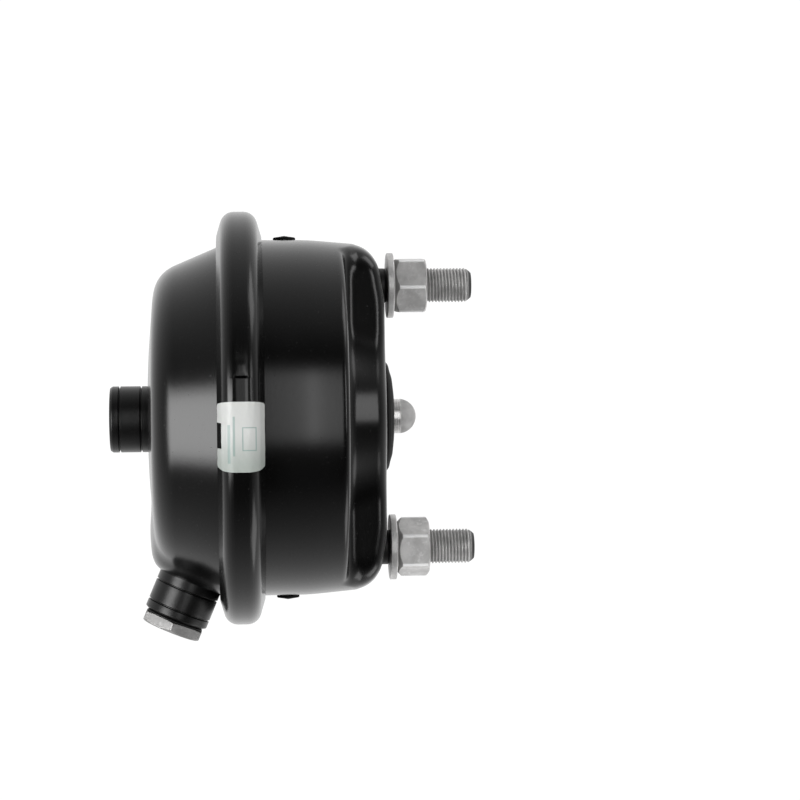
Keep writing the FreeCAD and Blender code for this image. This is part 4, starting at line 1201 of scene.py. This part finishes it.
def panel(name, centre, size, radiance):
    """Soft rectangular lamp facing the chamber, its strength given as the brightness of its face."""
    lamp = bpy.data.lights.new(name, "AREA")
    lamp.shape = "RECTANGLE"
    lamp.size, lamp.size_y = size
    lamp.energy = radiance * math.pi * size[0] * size[1]
    holder = bpy.data.objects.new(name, lamp)
    aim = PANEL_AIM - Vector(centre)
    holder.matrix_world = Matrix.Translation(centre) @ aim.to_track_quat("-Z", "Y").to_matrix().to_4x4()
    bpy.context.scene.collection.objects.link(holder)


panel("front_panel", (0.15, -1.45, 0.17), (0.26, 1.06), 1.5)
panel("front_panel_edge", (0.15, -1.46, 0.17), (0.42, 1.28), 1.1)
panel("left_panel", (-1.10, -1.04, -0.11), (0.64, 0.94), 3.6)
panel("left_panel_edge", (-1.11, -1.05, -0.11), (0.92, 1.22), 3.5)
panel("right_panel", (0.955, -1.0, 0.25), (0.28, 0.8), 3.2)
panel("upper_right_panel", (0.85, -0.2, 1.07), (0.7, 0.7), 2.0)
panel("lower_right_panel", (0.85, -0.2, -1.07), (0.7, 0.7), 2.0)

# Room round the object: how far back it is (dark, bright), and how strong it is there
ROOM_FADE = (-0.75, 0.9)
ROOM_STRENGTH = (0.02, 1.08)
PLAIN_WHITE = 1.05
FLOOR_WHITENESS = 0.985
FLOOR_HALF = 3.0
FLOOR_Z = -0.16


def studio():
    """White for the camera; for the object dark beside the camera and brighter towards the back."""
    world = bpy.data.worlds.new("studio")
    bpy.context.scene.world = world
    finish = Finish("studio", world)
    _, y, _ = finish.xyz()
    near, far = ROOM_FADE
    dark, bright = ROOM_STRENGTH
    sockets = {"Value": y, "From Min": near, "From Max": far, "To Min": dark, "To Max": bright}
    round_object = finish.node("MapRange", {}, sockets)
    seen = finish.node("LightPath", {}, {}, "Is Camera Ray")
    strength = finish.node("Mix", {}, {0: seen, 2: round_object, 3: PLAIN_WHITE})
    back = finish.node("Background", {}, {"Color": (1, 1, 1, 1), "Strength": strength})
    finish.node("OutputWorld", {}, {"Surface": back})


studio()


def floor():
    """Pale floor under the chamber, plain white to the camera and left out of the reflections."""
    finish = Finish("pale_floor")
    fleck = finish.noise(40.0, 3.0)
    diffuse = finish.node("BsdfDiffuse", {}, {"Color": finish.mix(fleck, grey(0.78), grey(0.82))})
    white = finish.node("Emission", {}, {"Color": (1, 1, 1, 1), "Strength": PLAIN_WHITE})
    seen = finish.node("LightPath", {}, {}, "Is Camera Ray")
    shader = finish.node("MixShader", {}, {0: seen * FLOOR_WHITENESS, 1: diffuse, 2: white})
    finish.node("OutputMaterial", {}, {"Surface": shader})
    signs = ((-1, -1), (1, -1), (1, 1), (-1, 1))
    corners = np.array([(a * FLOOR_HALF, b * FLOOR_HALF, FLOOR_Z) for a, b in signs]) / MM
    plate = build("floor", corners, [[0, 1, 2, 3]])
    plate.data.materials.append(finish.material)
    plate.visible_glossy = False
    plate.visible_shadow = False


floor()
